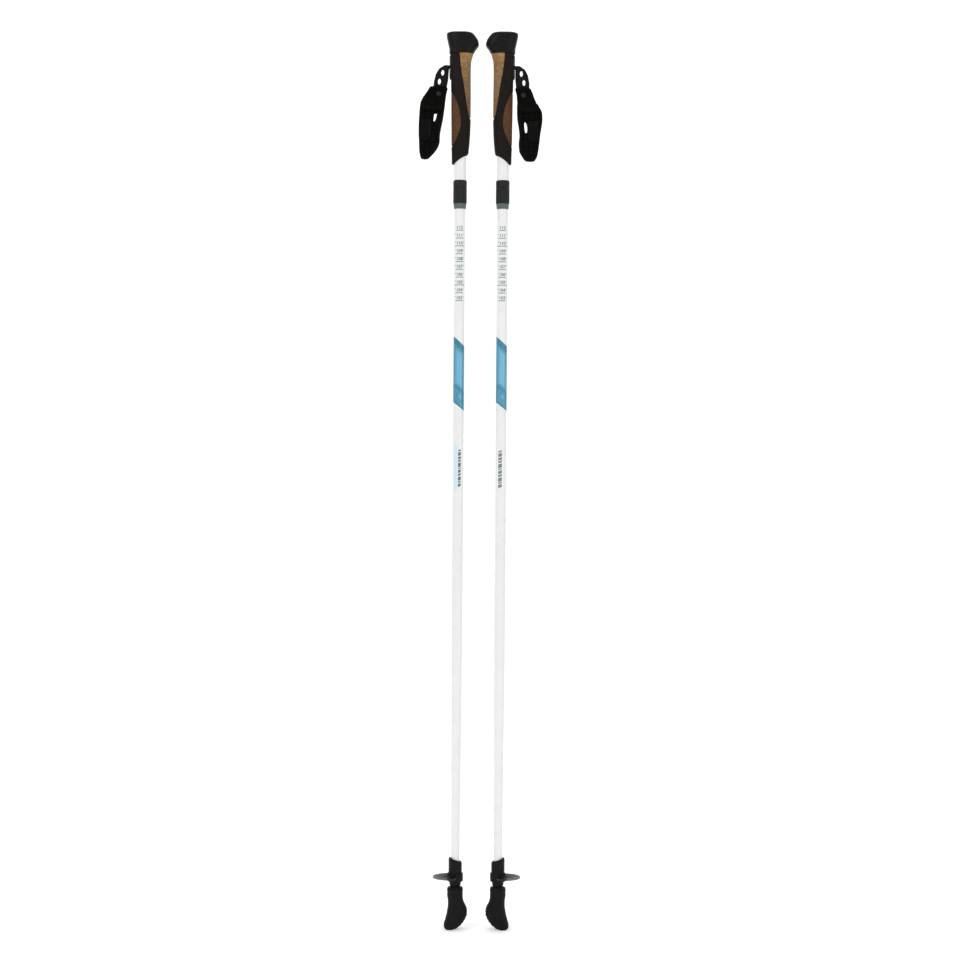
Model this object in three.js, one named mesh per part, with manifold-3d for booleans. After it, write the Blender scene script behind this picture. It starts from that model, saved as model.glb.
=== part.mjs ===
// A pair of Nordic walking (trekking) poles, standing side by side.
// Each pole: a rubber and cork handle with a click-in hand strap, a short upper tube, a twist collar that
// clamps a tapered lower tube, and a plastic tip with a half basket, a carbide spike and a rubber pad.
// Millimetres, +Z up, ground at Z = 0, X across the pair, Y towards the back. The poles mirror each other in
// the plane X = 0: each handle's nose points inwards (towards X = 0) and its strap hangs on the outside.
import * as THREE from "three";
import { mergeVertices } from "three/addons/utils/BufferGeometryUtils.js";
import Module from "manifold-3d";

// ---------------------------------------------------------------- driving dimensions
const POLE_SPACING = 54.8; // between the two pole axes
const CENTRE_SHIFT = 2.91; // the left strap hangs further out: this puts the middle of the whole width at X = 0
const N = 20; // facets round a tube

// tubes
const UPPER_R = 8.0, UPPER_BORE_R = 7.3, UPPER_Z0 = 951.4, UPPER_Z1 = 1124;
const LOWER_R = 7.0, LOWER_WALL = 0.7, LOWER_TIP_R = 5.5, LOWER_Z0 = 46, LOWER_Z1 = 986;
const TAPER_TOP_Z = 400, TAPER_END_Z = 92;
const GUIDE_Z0 = 974, GUIDE_Z1 = 992, GUIDE_R = 7.12;

// twist lock
const LOCK_R = 8.8, LOCK_TOP_Z = 960.6, LOCK_SPLIT_Z = 950.9, LOCK_BOTTOM_Z = 931, WIPER_Z0 = 924;

// handle
const GRIP_TOP_Z = 1123, GRIP_CORE_X = 10.0, GRIP_CORE_Y = 10.3, GRIP_BORE_R = 8.3;
const HEAD_Z0 = 1123.3, HEAD_Z1 = 1150;
const BUTTON_TOP_Z = 1152, BUTTON_X0 = -9.4, BUTTON_X1 = 3.4, BUTTON_W = 4.4;
const PRONG_X0 = 12.5, PRONG_X1 = 13.5;

// strap clip pivot, in the pole's own frame (x outwards from the pole axis)
const PIVOT_X = 10.6, PIVOT_Z = 1106.5, TBAR_R = 1.6, TBAR_HALF = 4.4, CLIP_HALF = 1.6;
const LEFT_STRAP_TILT = 3.8; // degrees, how much further out the left strap hangs

// tip
const FERRULE_R = 8.6, FERRULE_Z0 = 24, FERRULE_TOP_OUT = 92.6, FERRULE_TOP_IN = 86.4;
const BASKET_Z = 67, BASKET_T = 2.6, BASKET_REACH = 28.8, BASKET_HALF_Y = 19;
const PAD_TOP_Z = 54;

// ---------------------------------------------------------------- solids
const wasm = await Module();
wasm.setup();

function solid(geometry) {
  const g = (geometry.index ? geometry.toNonIndexed() : geometry.clone());
  for (const name of Object.keys(g.attributes)) if (name !== "position") g.deleteAttribute(name);
  const merged = mergeVertices(g, 1e-4);
  const make = (flip) => {
    const tri = new Uint32Array(merged.index.array);
    if (flip) for (let i = 0; i < tri.length; i += 3) [tri[i + 1], tri[i + 2]] = [tri[i + 2], tri[i + 1]];
    return new wasm.Manifold(new wasm.Mesh({
      numProp: 3, vertProperties: new Float32Array(merged.attributes.position.array), triVerts: tri }));
  };
  const m = make(false);
  return m.volume() < 0 ? make(true) : m;
}

function geometryOf(manifold) {
  const mesh = manifold.getMesh(), n = mesh.numProp;
  const v = new Float32Array(mesh.numVert * 3);
  for (let i = 0; i < mesh.numVert; i++) v.set(mesh.vertProperties.subarray(i * n, i * n + 3), i * 3);
  const g = new THREE.BufferGeometry();
  g.setAttribute("position", new THREE.BufferAttribute(v, 3));
  g.setIndex(new THREE.BufferAttribute(new Uint32Array(mesh.triVerts), 1));
  return g;
}

// a closed profile of [radius, z] turned about the Z axis
function turned(profile, segments = N) {
  const pts = profile.map(([r, z]) => new THREE.Vector2(r, z));
  const closed = pts[0].x > 0 || pts[pts.length - 1].x > 0;
  if (closed) pts.push(pts[0].clone());
  return new THREE.LatheGeometry(pts, segments).rotateX(Math.PI / 2);
}

const tube = (r1, r0, z0, z1, seg = N) => solid(turned([[r0, z0], [r1, z0], [r1, z1], [r0, z1]], seg));
const rod = (r, z0, z1, seg = N) => solid(turned([[0, z0], [r, z0], [r, z1], [0, z1]], seg));

function box(x0, x1, y0, y1, z0, z1) {
  return solid(new THREE.BoxGeometry(x1 - x0, y1 - y0, z1 - z0).translate((x0 + x1) / 2, (y0 + y1) / 2, (z0 + z1) / 2));
}

function barY(x, z, r, half, seg = 16) {
  return solid(new THREE.CylinderGeometry(r, r, 2 * half, seg).translate(x, 0, z));
}

// a side outline of [x, z] points extruded across Y from -half to +half
function plateXZ(points, half, holes = []) {
  const s = new THREE.Shape(points.map(([x, z]) => new THREE.Vector2(x, z)));
  for (const h of holes) s.holes.push(new THREE.Path(h.map(([x, z]) => new THREE.Vector2(x, z))));
  const g = new THREE.ExtrudeGeometry(s, { depth: 2 * half, bevelEnabled: false, steps: 1 });
  g.translate(0, 0, -half).rotateX(Math.PI / 2);
  return solid(g);
}

// an outline of [y, z] points extruded along X from x0 to x1
function prismYZ(points, x0, x1) {
  const s = new THREE.Shape(points.map(([y, z]) => new THREE.Vector2(y, z)));
  const g = new THREE.ExtrudeGeometry(s, { depth: x1 - x0, bevelEnabled: false, steps: 1 });
  // shape x -> y, shape y -> z, depth -> x
  g.applyMatrix4(new THREE.Matrix4().set(0, 0, 1, x0, 1, 0, 0, 0, 0, 1, 0, 0, 0, 0, 0, 1));
  return solid(g);
}

function oval(cx, cz, a, b, tiltDeg, n = 12) {
  const t = THREE.MathUtils.degToRad(tiltDeg), pts = [];
  for (let i = 0; i < n; i++) {
    const q = (i / n) * 2 * Math.PI, x = a * Math.cos(q), z = b * Math.sin(q);
    pts.push([cx + x * Math.cos(t) - z * Math.sin(t), cz + x * Math.sin(t) + z * Math.cos(t)]);
  }
  return pts;
}

const lerpTable = (rows, z) => {
  if (z <= rows[0][0]) return rows[0].slice(1);
  for (let i = 1; i < rows.length; i++)
    if (z <= rows[i][0]) {
      const t = (z - rows[i - 1][0]) / (rows[i][0] - rows[i - 1][0]);
      return rows[i].slice(1).map((v, k) => rows[i - 1][k + 1] * (1 - t) + v * t);
    }
  return rows[rows.length - 1].slice(1);
};

// a turned body whose sections are stretched to ovals. Rows are [z, x_in, x_out, half_y, squareness]
function ovalBody(rows, levels, segments = N) {
  const profile = [[0, levels[0]], ...levels.map((z) => [1, z]), [0, levels[levels.length - 1]]];
  const g = turned(profile, segments);
  const p = g.attributes.position;
  for (let i = 0; i < p.count; i++) {
    const [x0, x1, w, k] = lerpTable(rows, p.getZ(i));
    const x = p.getX(i), y = p.getY(i), rad = Math.min(1, Math.hypot(x, y));
    if (rad < 1e-6) { p.setX(i, (x0 + x1) / 2); p.setY(i, 0); continue; }
    const c = x / Math.hypot(x, y), s = y / Math.hypot(x, y), e = 2 / k;
    p.setX(i, (x0 + x1) / 2 + ((x1 - x0) / 2) * Math.sign(c) * Math.pow(Math.abs(c), e));
    p.setY(i, w * Math.sign(s) * Math.pow(Math.abs(s), e));
  }
  return solid(g);
}

const made = {};

// ---------------------------------------------------------------- tubes and the twist lock
made.upper_shaft = tube(UPPER_R, UPPER_BORE_R, UPPER_Z0, UPPER_Z1);
made.lower_shaft = solid(turned([
  [LOWER_TIP_R - LOWER_WALL, LOWER_Z0], [LOWER_TIP_R, LOWER_Z0], [LOWER_TIP_R, TAPER_END_Z],
  [LOWER_R, TAPER_TOP_Z], [LOWER_R, LOWER_Z1], [LOWER_R - LOWER_WALL, LOWER_Z1],
  [LOWER_R - LOWER_WALL, TAPER_TOP_Z], [LOWER_TIP_R - LOWER_WALL, TAPER_END_Z]]));
// guide bush: a plug in the lower tube's open end with a shoulder that runs in the upper tube
made.shaft_guide = solid(turned([
  [0, GUIDE_Z0], [6.0, GUIDE_Z0], [6.0, LOWER_Z1 + 0.3], [GUIDE_R, LOWER_Z1 + 0.3],
  [GUIDE_R, GUIDE_Z1 - 1], [GUIDE_R - 1, GUIDE_Z1], [0, GUIDE_Z1]]));
// fixed half of the lock: a sleeve over the upper tube's end with a threaded spigot below
made.lock_sleeve = solid(turned([
  [7.15, 943], [7.95, 943], [7.95, LOCK_SPLIT_Z + 0.2], [LOCK_R - 0.3, LOCK_SPLIT_Z + 0.2], [LOCK_R, LOCK_SPLIT_Z + 0.8],
  [LOCK_R, LOCK_TOP_Z - 1.2], [LOCK_R - 0.5, LOCK_TOP_Z], [8.2, LOCK_TOP_Z], [8.2, UPPER_Z0 - 0.25], [7.15, UPPER_Z0 - 0.25]]));
made.lock_nut = solid(turned([
  [7.4, LOCK_BOTTOM_Z], [LOCK_R - 0.5, LOCK_BOTTOM_Z], [LOCK_R, LOCK_BOTTOM_Z + 0.8], [LOCK_R, LOCK_SPLIT_Z - 0.8],
  [LOCK_R - 0.3, LOCK_SPLIT_Z - 0.1], [8.3, LOCK_SPLIT_Z - 0.1], [8.3, LOCK_BOTTOM_Z + 1.3], [7.4, LOCK_BOTTOM_Z + 1.3]], 24));
made.lock_collet = tube(7.95, 7.15, LOCK_BOTTOM_Z + 1.6, 942.6).subtract(box(-9, -6, -1.2, 1.2, 930, 945));
made.lock_wiper = solid(turned([
  [7.25, WIPER_Z0], [7.7, WIPER_Z0], [8.3, LOCK_BOTTOM_Z - 0.3], [7.25, LOCK_BOTTOM_Z - 0.3]]));

// ---------------------------------------------------------------- handle
// outer form: [z, x_in (nose side), x_out (strap side), half_y, squareness]
const GRIP_ROWS = [
  [978, -9.6, 10.9, 10.0, 2.2], [992, -10.2, 11.1, 10.4, 2.2], [1006, -11.6, 11.5, 11.2, 2.2],
  [1022, -12.6, 11.7, 12.0, 2.2], [1042, -13.1, 12.0, 12.6, 2.2], [1062, -13.1, 12.2, 12.8, 2.2],
  [1082, -13.0, 12.5, 12.6, 2.3], [1100, -12.9, 12.8, 12.3, 2.4], [1112, -13.3, 13.0, 12.4, 2.5],
  [1119, -14.8, 13.2, 12.6, 2.5], [1123, -16.2, 13.4, 12.8, 2.5]];
const GRIP_LEVELS = [978, 992, 1006, 1022, 1062, 1082, 1112, 1119, 1123];
const gripOuter = ovalBody(GRIP_ROWS, GRIP_LEVELS, 20);
const CORK_FRONT = [[2, 1123.2], [1.0, 1112], [-0.8, 1098], [-3.6, 1084], [-5.8, 1070], [-8, 1056], [-11, 1042], [-14, 1036], [-22, 1036], [-22, 1123.2]];
const CORK_REAR = [[16, 1074], [12, 1074], [9, 1068.5], [5.5, 1062], [2, 1053], [-0.3, 1042], [-1, 1034], [-0.1, 1026], [2.2, 1019], [5.8, 1011.5], [9, 1006], [12, 1002], [16, 1002]];
const gripInner = solid(turned([[0, 970], [1, 970], [1, 1130], [0, 1130]], 20).scale(GRIP_CORE_X, GRIP_CORE_Y, 1));
// the slanted bottom edge: lower on the strap side
const slantCut = plateXZ([[-20, 999.9], [20, 975.1], [20, 950], [-20, 950]], 30);
const spine = box(7, 14.6, -7.2, 7.2, 1086, GRIP_TOP_Z)
  .subtract(plateXZ([[10, 1085], [16, 1085], [16, 1094]], 10));
const strapSlots = barY(PIVOT_X, PIVOT_Z, 1.9, 4.8)
  .add(box(PIVOT_X, 16, -4.8, 4.8, PIVOT_Z - 1.9, PIVOT_Z + 1.9))
  .add(box(9.1, 17, -1.9, 1.9, PIVOT_Z - 2.5, 1120))
  .add(box(PRONG_X0 - 0.3, PRONG_X1 + 0.3, -5.9, 5.9, 1095.8, 1130));
const gripBlank = gripOuter.add(spine).subtract(rod(GRIP_BORE_R, 960, 1140)).subtract(slantCut);
const frontBlock = plateXZ(CORK_FRONT, 20), rearBlock = plateXZ(CORK_REAR, 20);
made.grip_body = gripBlank.subtract(frontBlock.subtract(gripInner)).subtract(rearBlock.subtract(gripInner)).subtract(strapSlots);
// cork inlays: the same form 0.3 mm smaller all round, so that they sit in their pockets
const CORK_ROWS = GRIP_ROWS.map(([z, a, b, w, k]) => [z, a + 0.35, b - 0.35, w - 0.35, k]);
const corkOuter = ovalBody(CORK_ROWS, GRIP_LEVELS, 20)
  .subtract(solid(turned([[0, 970], [1, 970], [1, 1130], [0, 1130]], 20).scale(GRIP_CORE_X + 0.3, GRIP_CORE_Y + 0.3, 1)));
const shrinkX = (pts, dx) => pts.map(([x, z]) => [x + (Math.abs(x) >= 16 ? 0 : dx), z]);
made.cork_front = corkOuter.intersect(plateXZ(shrinkX(CORK_FRONT, -0.4).map(([x, z]) => [x, z > 1123 ? 1122.7 : z]), 20));
made.cork_rear = corkOuter.intersect(plateXZ(shrinkX(CORK_REAR, 0.4).map(([x, z]) => [x, Math.min(z, 1073.6)]), 20))
  .intersect(box(-20, 20, -20, 20, 1002.4, 1100)).subtract(spine);

// handle head, with the button's chamber, its mouth and the channel of its two prongs
const HEAD_ROWS = [
  [HEAD_Z0, -15.8, 14.9, 12.9, 2.6], [1129, -19.5, 15.0, 13.4, 2.6], [1135, -23.0, 16.2, 14.0, 2.7],
  [1139.5, -22.2, 17.2, 14.2, 2.7], [1144, -19.8, 18.2, 14.0, 2.7], [1148, -16.6, 18.5, 13.4, 2.7], [HEAD_Z1, -14.6, 17.2, 12.2, 2.7]];
made.head_cap = ovalBody(HEAD_ROWS, HEAD_ROWS.map((r) => r[0]), 22)
  .subtract(box(-11, 13.9, -6.2, 6.2, 1128, 1145.5))
  .subtract(box(BUTTON_X0 - 0.3, BUTTON_X1 + 0.3, -BUTTON_W - 0.3, BUTTON_W + 0.3, 1140, 1160))
  .subtract(box(PRONG_X0 - 0.3, PRONG_X1 + 0.3, -5.9, 5.9, 1120, 1130))
  .subtract(rod(GRIP_BORE_R, 1120, UPPER_Z1 + 0.3))
  .subtract(rod(1.9, 1120, 1130, 12));
// push button: a cap, a flange that stops it under the roof, an arm and two prongs with notches for the clip's T-bar
const NOTCH_Z0 = 1108.2, NOTCH_Z1 = 1113.2;
let button = box(BUTTON_X0, BUTTON_X1, -BUTTON_W, BUTTON_W, 1144, BUTTON_TOP_Z)
  .add(box(BUTTON_X0 - 1, PRONG_X1, -5.6, 5.6, 1142.4, 1145.2));
for (const s of [-1, 1]) {
  const y0 = s > 0 ? 2.2 : -5.6, y1 = s > 0 ? 5.6 : -2.2;
  button = button.add(box(PRONG_X0, PRONG_X1, y0, y1, 1101.6, 1144))
    .subtract(box(PRONG_X0 - 1, PRONG_X1 + 1, s > 0 ? 2.0 : -4.7, s > 0 ? 4.7 : -2.0, NOTCH_Z0, NOTCH_Z1));
}
made.release_button = button;
// return spring under the button
{
  const pts = [], turns = 3.5, r = 4.3, z0 = 1128.75, z1 = 1141.6;
  for (let i = 0; i <= turns * 8; i++) {
    const t = i / (turns * 8), a = t * turns * 2 * Math.PI;
    pts.push(new THREE.Vector3(r * Math.cos(a), r * Math.sin(a), z0 + t * (z1 - z0)));
  }
  const section = new THREE.Shape();
  for (let i = 0; i < 4; i++) {
    const a = (i / 4) * 2 * Math.PI;
    section[i ? "lineTo" : "moveTo"](0.45 * Math.cos(a), 0.45 * Math.sin(a));
  }
  made.button_spring = solid(new THREE.ExtrudeGeometry(section, { steps: turns * 8, bevelEnabled: false, extrudePath: new THREE.CatmullRomCurve3(pts) }));
}
// plug in the tube's top, and the screw that pulls the head down on it
made.top_plug = tube(7.0, 1.9, 1114, 1123.8, 20);
made.head_screw = solid(turned([
  [0, 1115], [1.5, 1115], [1.5, 1128.3], [3.3, 1128.3], [3.3, 1130.2], [2.4, 1131], [1.2, 1131], [1.2, 1129.4], [0, 1129.4]], 16));

// ---------------------------------------------------------------- strap
// clip: a plate with a T-bar that turns in the handle's pocket and two see-through eyes
const CLIP = [[PIVOT_X, PIVOT_Z - TBAR_R], [15.0, 1104.6], [15.1, 1090], [16.6, 1076], [20.5, 1065], [25, 1063], [30.5, 1064.5], [33.5, 1074], [33.2, 1086],
  [31.4, 1096], [27.4, 1103.6], [20.4, 1108.3], [PIVOT_X, PIVOT_Z + TBAR_R]];
made.strap_clip = plateXZ(CLIP, CLIP_HALF, [oval(22.8, 1098.2, 1.9, 3.7, 8), oval(26.2, 1086.6, 1.9, 3.8, 12)])
  .add(barY(PIVOT_X, PIVOT_Z, TBAR_R, TBAR_HALF, 16));
// outlines seen from the side: the palm strap's two layers and the padded wrist cuff
// the two straps are creased a little differently where the palm strap meets the cuff
const PALM = {
  right: [[14.9, 1079.5], [17.0, 1072], [17.9, 1062], [18.2, 1047], [47.2, 1047], [43.6, 1056], [40.6, 1064], [37.4, 1073], [34.2, 1080]],
  left: [[14.9, 1079.5], [16.2, 1072], [16.9, 1062], [18.0, 1047], [48.2, 1047], [48.1, 1057], [45.2, 1065], [40.4, 1073], [36.8, 1080]] };
const CUFF_LOW = {
  right: [[20.6, 1010], [21.2, 1001], [24.6, 993.5], [28.8, 987.6], [33.4, 984.8], [37.8, 985.4], [41.4, 988.8], [44.2, 995.2], [45.8, 1006]],
  left: [[20.8, 1011], [22.4, 1004], [25.2, 998.6], [28.8, 993.6], [32.6, 988.8], [36.2, 985.6], [39.6, 985.4], [42.8, 988.4], [44.8, 994.8], [46.0, 1006]] };
const CUFF = {
  right: [[17.9, 1058.5], [18.0, 1049], [18.7, 1040], [20.4, 1030], [21.4, 1020], ...CUFF_LOW.right, [47.2, 1019], [48.8, 1029], [49.8, 1038], [49.4, 1047], [46.4, 1053.5], [43.9, 1058.5]],
  left: [[17.2, 1058.5], [17.9, 1049], [18.7, 1040], [20.0, 1030], [21.0, 1020], ...CUFF_LOW.left, [47.4, 1019], [48.0, 1029], [48.2, 1038], [48.3, 1047], [48.2, 1054], [46.8, 1058.5]] };
const SLIT = { right: [28.6, 1029.0], left: [30.4, 1042.0] };
const PALM_T = 2.0, CUFF_T = 4.0, RIVET = [25.6, 1070];
// palm strap layer: follows [half_gap, z] away from the clip and over the cuff
function palmLayer(side, y) {
  const inner = [[1.95, 1083], [1.95, 1066], [5.0, 1061.2], [9.5, 1050], [9.9, 1044]];
  const outer = inner.map(([y, z]) => [y + PALM_T, z]).reverse();
  const pts = [...inner, ...outer].map(([h, z]) => [y * h, z]);
  return prismYZ(y > 0 ? pts : pts.reverse(), 0, 60).intersect(plateXZ(PALM[side], 30)).subtract(barY(RIVET[0], RIVET[1], 1.8, 12, 12));
}
made.strap_clip = made.strap_clip.subtract(barY(RIVET[0], RIVET[1], 1.8, 12, 12));
made.strap_rivet = barY(RIVET[0], RIVET[1], 1.5, 4.5, 12).add(barY(RIVET[0], RIVET[1], 3.2, 5.2, 12).subtract(barY(RIVET[0], RIVET[1], 4.0, 4.25, 12)));
// cuff: a folded padded band; the hand goes through it along X, the thumb through the slit in each layer
const CUFF_OUT = [[4.6, 1060.5], [8.9, 1049], [10.4, 1034], [10.6, 1012], [9.6, 995.5], [7.0, 986.5], [3.6, 982.8]];
const CUFF_IN = [[1.4, 1062], [5.2, 1049], [6.6, 1034], [6.6, 1012], [5.6, 997.5], [3.6, 991]];
const ring = (pts) => [...pts.map(([y, z]) => [y, z]), ...pts.map(([y, z]) => [-y, z]).reverse()];
const cuff = (side) => prismYZ(ring(CUFF_OUT), 0, 70).subtract(prismYZ(ring(CUFF_IN), -5, 75))
  .intersect(plateXZ(CUFF[side], 30)).subtract(plateXZ(oval(SLIT[side][0], SLIT[side][1], 2.3, 9.0, 6), 30));
// pieces that have a shape of their own on each pole
const own = {};
for (const side of ["left", "right"])
  own[side] = { palm_strap_front: palmLayer(side, -1), palm_strap_back: palmLayer(side, 1), wrist_cuff: cuff(side) };
// hook-and-loop tab on the cuff's front layer
made.cuff_tab = prismYZ([[-10.75, 1036], [-12.35, 1036], [-12.55, 1010], [-11.0, 1008]].reverse(), 31.5, 45.5)
  .intersect(plateXZ([[31.5, 1036], [31.5, 1013], [34, 1009], [43, 1009], [44.5, 1013], [45.5, 1036]], 30));

// ---------------------------------------------------------------- tip
const ferruleBlank = solid(turned([
  [0, FERRULE_Z0], [4.6, FERRULE_Z0], [6.5, 53], [6.5, 56], [7.4, 57.5], [7.4, 60.5], [FERRULE_R, 61.2], [FERRULE_R, 88], [7.3, 96], [0, 96]]));
made.tip_ferrule = ferruleBlank
  .subtract(rod(LOWER_TIP_R + 0.25, LOWER_Z0 - 0.3, 100))
  .subtract(rod(2.6, 20, 38.3, 16))
  .subtract(plateXZ([[-20, FERRULE_TOP_IN - 4.65], [20, FERRULE_TOP_OUT + 4.65], [20, 110], [-20, 110]], 20));
made.spike_holder = solid(turned([[0, 23.6], [1.55, 23.6], [1.55, 19], [2.3, 19], [2.3, 38], [0, 38]], 16));
made.carbide_tip = solid(turned([[0, 13.4], [0.5, 12.9], [1.1, 12.6], [1.3, 13.4], [1.3, 23.2], [0, 23.2]], 12));
// half basket: a blade on the outside, on a hub ring
{
  const s = new THREE.Shape();
  const n = 14;
  s.moveTo(-2, -10);
  for (let i = 0; i <= n; i++) {
    const a = -Math.PI / 2 + (i / n) * Math.PI;
    s.lineTo(4 + (BASKET_REACH - 4) * Math.cos(a), BASKET_HALF_Y * Math.sin(a));
  }
  s.lineTo(-2, 10);
  const blade = solid(new THREE.ExtrudeGeometry(s, { depth: BASKET_T, bevelEnabled: false }).translate(0, 0, BASKET_Z - BASKET_T / 2));
  made.basket = blade.add(rod(10.1, 62, 72.4)).subtract(rod(8.9, 50, 80));
}
const PAD_ROWS = [
  [0, 1.7, 11.6, 7.2, 2.6], [1.6, -2.3, 13.4, 8.8, 2.6], [4, -5.9, 14.3, 9.8, 2.6], [7.5, -9.3, 14.2, 10.4, 2.6], [11, -11.9, 13.1, 10.7, 2.6],
  [15, -14.1, 12.0, 10.9, 2.5], [20, -15.7, 10.8, 10.9, 2.4], [25, -15.7, 9.9, 10.7, 2.3], [30, -14.1, 9.2, 10.3, 2.2], [34.5, -11.8, 9.1, 9.9, 2.1],
  [39, -10.3, 9.4, 9.7, 2.05], [43, -10.0, 10.1, 10.0, 2], [51, -10.2, 10.3, 10.2, 2], [PAD_TOP_Z, -9.6, 9.6, 9.6, 2]];
made.rubber_pad = ovalBody(PAD_ROWS, PAD_ROWS.map((r) => r[0]))
  .subtract(solid(turned([[0, 9.6], [5.6, 9.6], [5.6, 24], [6.85, 53], [6.85, 60], [0, 60]])));
made.pad_washer = tube(5.2, 1.0, 9.9, 11.3, 16);

// ---------------------------------------------------------------- materials
const mat = (color, roughness, metalness = 0) => new THREE.MeshStandardMaterial({ color, roughness, metalness });
const WHITE = mat("#efefef", 0.32, 0.1), BLACK_PLASTIC = mat("#1b1b1b", 0.45), RUBBER = mat("#1c1a19", 0.75),
  CORK = mat("#a07a4c", 0.85), FABRIC = mat("#0f0f0e", 0.95), LINING = mat("#2f312f", 0.95),
  STEEL = mat("#a9abad", 0.3, 1), NYLON = mat("#2a2b2c", 0.55), WIPER = mat("#5f686b", 0.6), BASKET = mat("#3a3a3a", 0.5), BUTTON = mat("#2c2c2c", 0.4);
const LOOKS = {
  upper_shaft: WHITE, lower_shaft: WHITE, shaft_guide: NYLON, lock_sleeve: BLACK_PLASTIC, lock_nut: BLACK_PLASTIC, lock_collet: NYLON,
  lock_wiper: WIPER, grip_body: RUBBER, cork_front: CORK, cork_rear: CORK, head_cap: BLACK_PLASTIC, release_button: BUTTON,
  button_spring: STEEL, top_plug: NYLON, head_screw: STEEL, strap_clip: BLACK_PLASTIC, palm_strap_front: FABRIC, palm_strap_back: FABRIC,
  strap_rivet: STEEL, wrist_cuff: FABRIC, cuff_tab: LINING, tip_ferrule: BLACK_PLASTIC, spike_holder: STEEL, carbide_tip: STEEL,
  basket: BASKET, rubber_pad: RUBBER, pad_washer: STEEL };
const STRAP = ["strap_clip", "palm_strap_front", "palm_strap_back", "strap_rivet", "wrist_cuff", "cuff_tab"];

// ---------------------------------------------------------------- the pair
const pair = new THREE.Group();
for (const side of ["left", "right"]) {
  const pole = new THREE.Group();
  pole.position.x = ((side === "left" ? -1 : 1) * POLE_SPACING) / 2;
  if (side === "left") pole.scale.x = -1;
  // the strap group turns about the clip's T-bar
  const strap = new THREE.Group();
  strap.position.set(PIVOT_X, 0, PIVOT_Z);
  if (side === "left") strap.rotation.y = -THREE.MathUtils.degToRad(LEFT_STRAP_TILT);
  pole.add(strap);
  for (const [name, manifold] of Object.entries({ ...made, ...own[side] })) {
    const mesh = new THREE.Mesh(geometryOf(manifold), LOOKS[name]);
    mesh.name = side + "_" + name;
    if (STRAP.includes(name)) {
      mesh.position.set(-PIVOT_X, 0, -PIVOT_Z);
      strap.add(mesh);
    } else pole.add(mesh);
  }
  pair.add(pole);
}
pair.position.x = CENTRE_SHIFT;
export default pair;
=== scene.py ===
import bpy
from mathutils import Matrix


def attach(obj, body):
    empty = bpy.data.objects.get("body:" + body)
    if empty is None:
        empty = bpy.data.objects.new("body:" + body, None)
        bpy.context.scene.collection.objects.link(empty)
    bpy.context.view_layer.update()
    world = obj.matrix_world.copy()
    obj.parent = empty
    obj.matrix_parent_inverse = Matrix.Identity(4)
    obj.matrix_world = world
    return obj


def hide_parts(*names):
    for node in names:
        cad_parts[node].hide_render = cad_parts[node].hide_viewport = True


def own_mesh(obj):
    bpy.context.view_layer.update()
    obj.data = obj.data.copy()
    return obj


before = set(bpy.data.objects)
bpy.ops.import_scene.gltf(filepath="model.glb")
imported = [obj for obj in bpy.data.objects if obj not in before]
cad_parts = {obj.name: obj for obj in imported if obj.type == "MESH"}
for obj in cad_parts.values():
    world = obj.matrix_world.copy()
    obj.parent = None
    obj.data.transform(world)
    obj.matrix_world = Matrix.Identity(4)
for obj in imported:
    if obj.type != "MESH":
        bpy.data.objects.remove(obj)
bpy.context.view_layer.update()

import math

import bmesh
import bpy
import numpy as np
from mathutils import Vector

sin, cos, pi = math.sin, math.cos, math.pi

# ------------------------------------------------------------------ the CAD's own sizes, in millimetres
HALF, SHIFT = 27.4, 2.91                 # pole axes at SHIFT -/+ HALF
PIVOT = (10.6, 1106.5)                   # strap clip's T-bar
STRAP_TILT = {"left": 3.8, "right": 0.0}
SIDES = ("left", "right")
SGN = {"left": -1.0, "right": 1.0}
GRIP_ROWS = [[976, -9.6, 10.9, 10.0, 2.2], [992, -10.2, 11.1, 10.4, 2.2], [1006, -11.6, 11.5, 11.2, 2.2],
             [1022, -12.6, 11.7, 12.0, 2.2], [1042, -13.1, 12.0, 12.6, 2.2], [1062, -13.1, 12.2, 12.8, 2.2],
             [1082, -13.0, 12.5, 12.6, 2.3], [1100, -12.9, 12.8, 12.3, 2.4], [1112, -13.3, 13.0, 12.4, 2.5],
             [1119, -14.8, 13.2, 12.6, 2.5], [1123, -16.2, 13.4, 12.8, 2.5]]
HEAD_ROWS = [[1123.3, -15.8, 14.9, 12.9, 2.6], [1129, -19.5, 15.0, 13.4, 2.6], [1135, -23.0, 16.2, 14.0, 2.7],
             [1139.5, -22.2, 17.2, 14.2, 2.7], [1144, -19.8, 18.2, 14.0, 2.7], [1148, -16.6, 18.5, 13.4, 2.7],
             [1150, -14.6, 17.2, 12.2, 2.7]]
PAD_ROWS = [[0, 1.7, 11.6, 7.2, 2.6], [1.6, -2.3, 13.4, 8.8, 2.6], [4, -5.9, 14.3, 9.8, 2.6], [7.5, -9.3, 14.2, 10.4, 2.6],
            [11, -11.9, 13.1, 10.7, 2.6], [15, -14.1, 12.0, 10.9, 2.5], [20, -15.7, 10.8, 10.9, 2.4], [25, -15.7, 9.9, 10.7, 2.3],
            [30, -14.1, 9.2, 10.3, 2.2], [34.5, -11.8, 9.1, 9.9, 2.1], [39, -10.3, 9.4, 9.7, 2.05], [43, -10.0, 10.1, 10.0, 2],
            [51, -10.2, 10.3, 10.2, 2], [54, -9.6, 9.6, 9.6, 2]]
CORK_FRONT = [[1036, -14], [1042, -11], [1056, -8], [1070, -5.8], [1084, -3.6], [1098, -0.8], [1112, 1.0], [1123.2, 2.0]]
CORK_REAR = [[1002, 12], [1006, 9], [1011.5, 5.8], [1019, 2.2], [1026, -0.1], [1034, -1], [1042, -0.3], [1053, 2], [1062, 5.5], [1068.5, 9], [1074, 12]]
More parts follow.
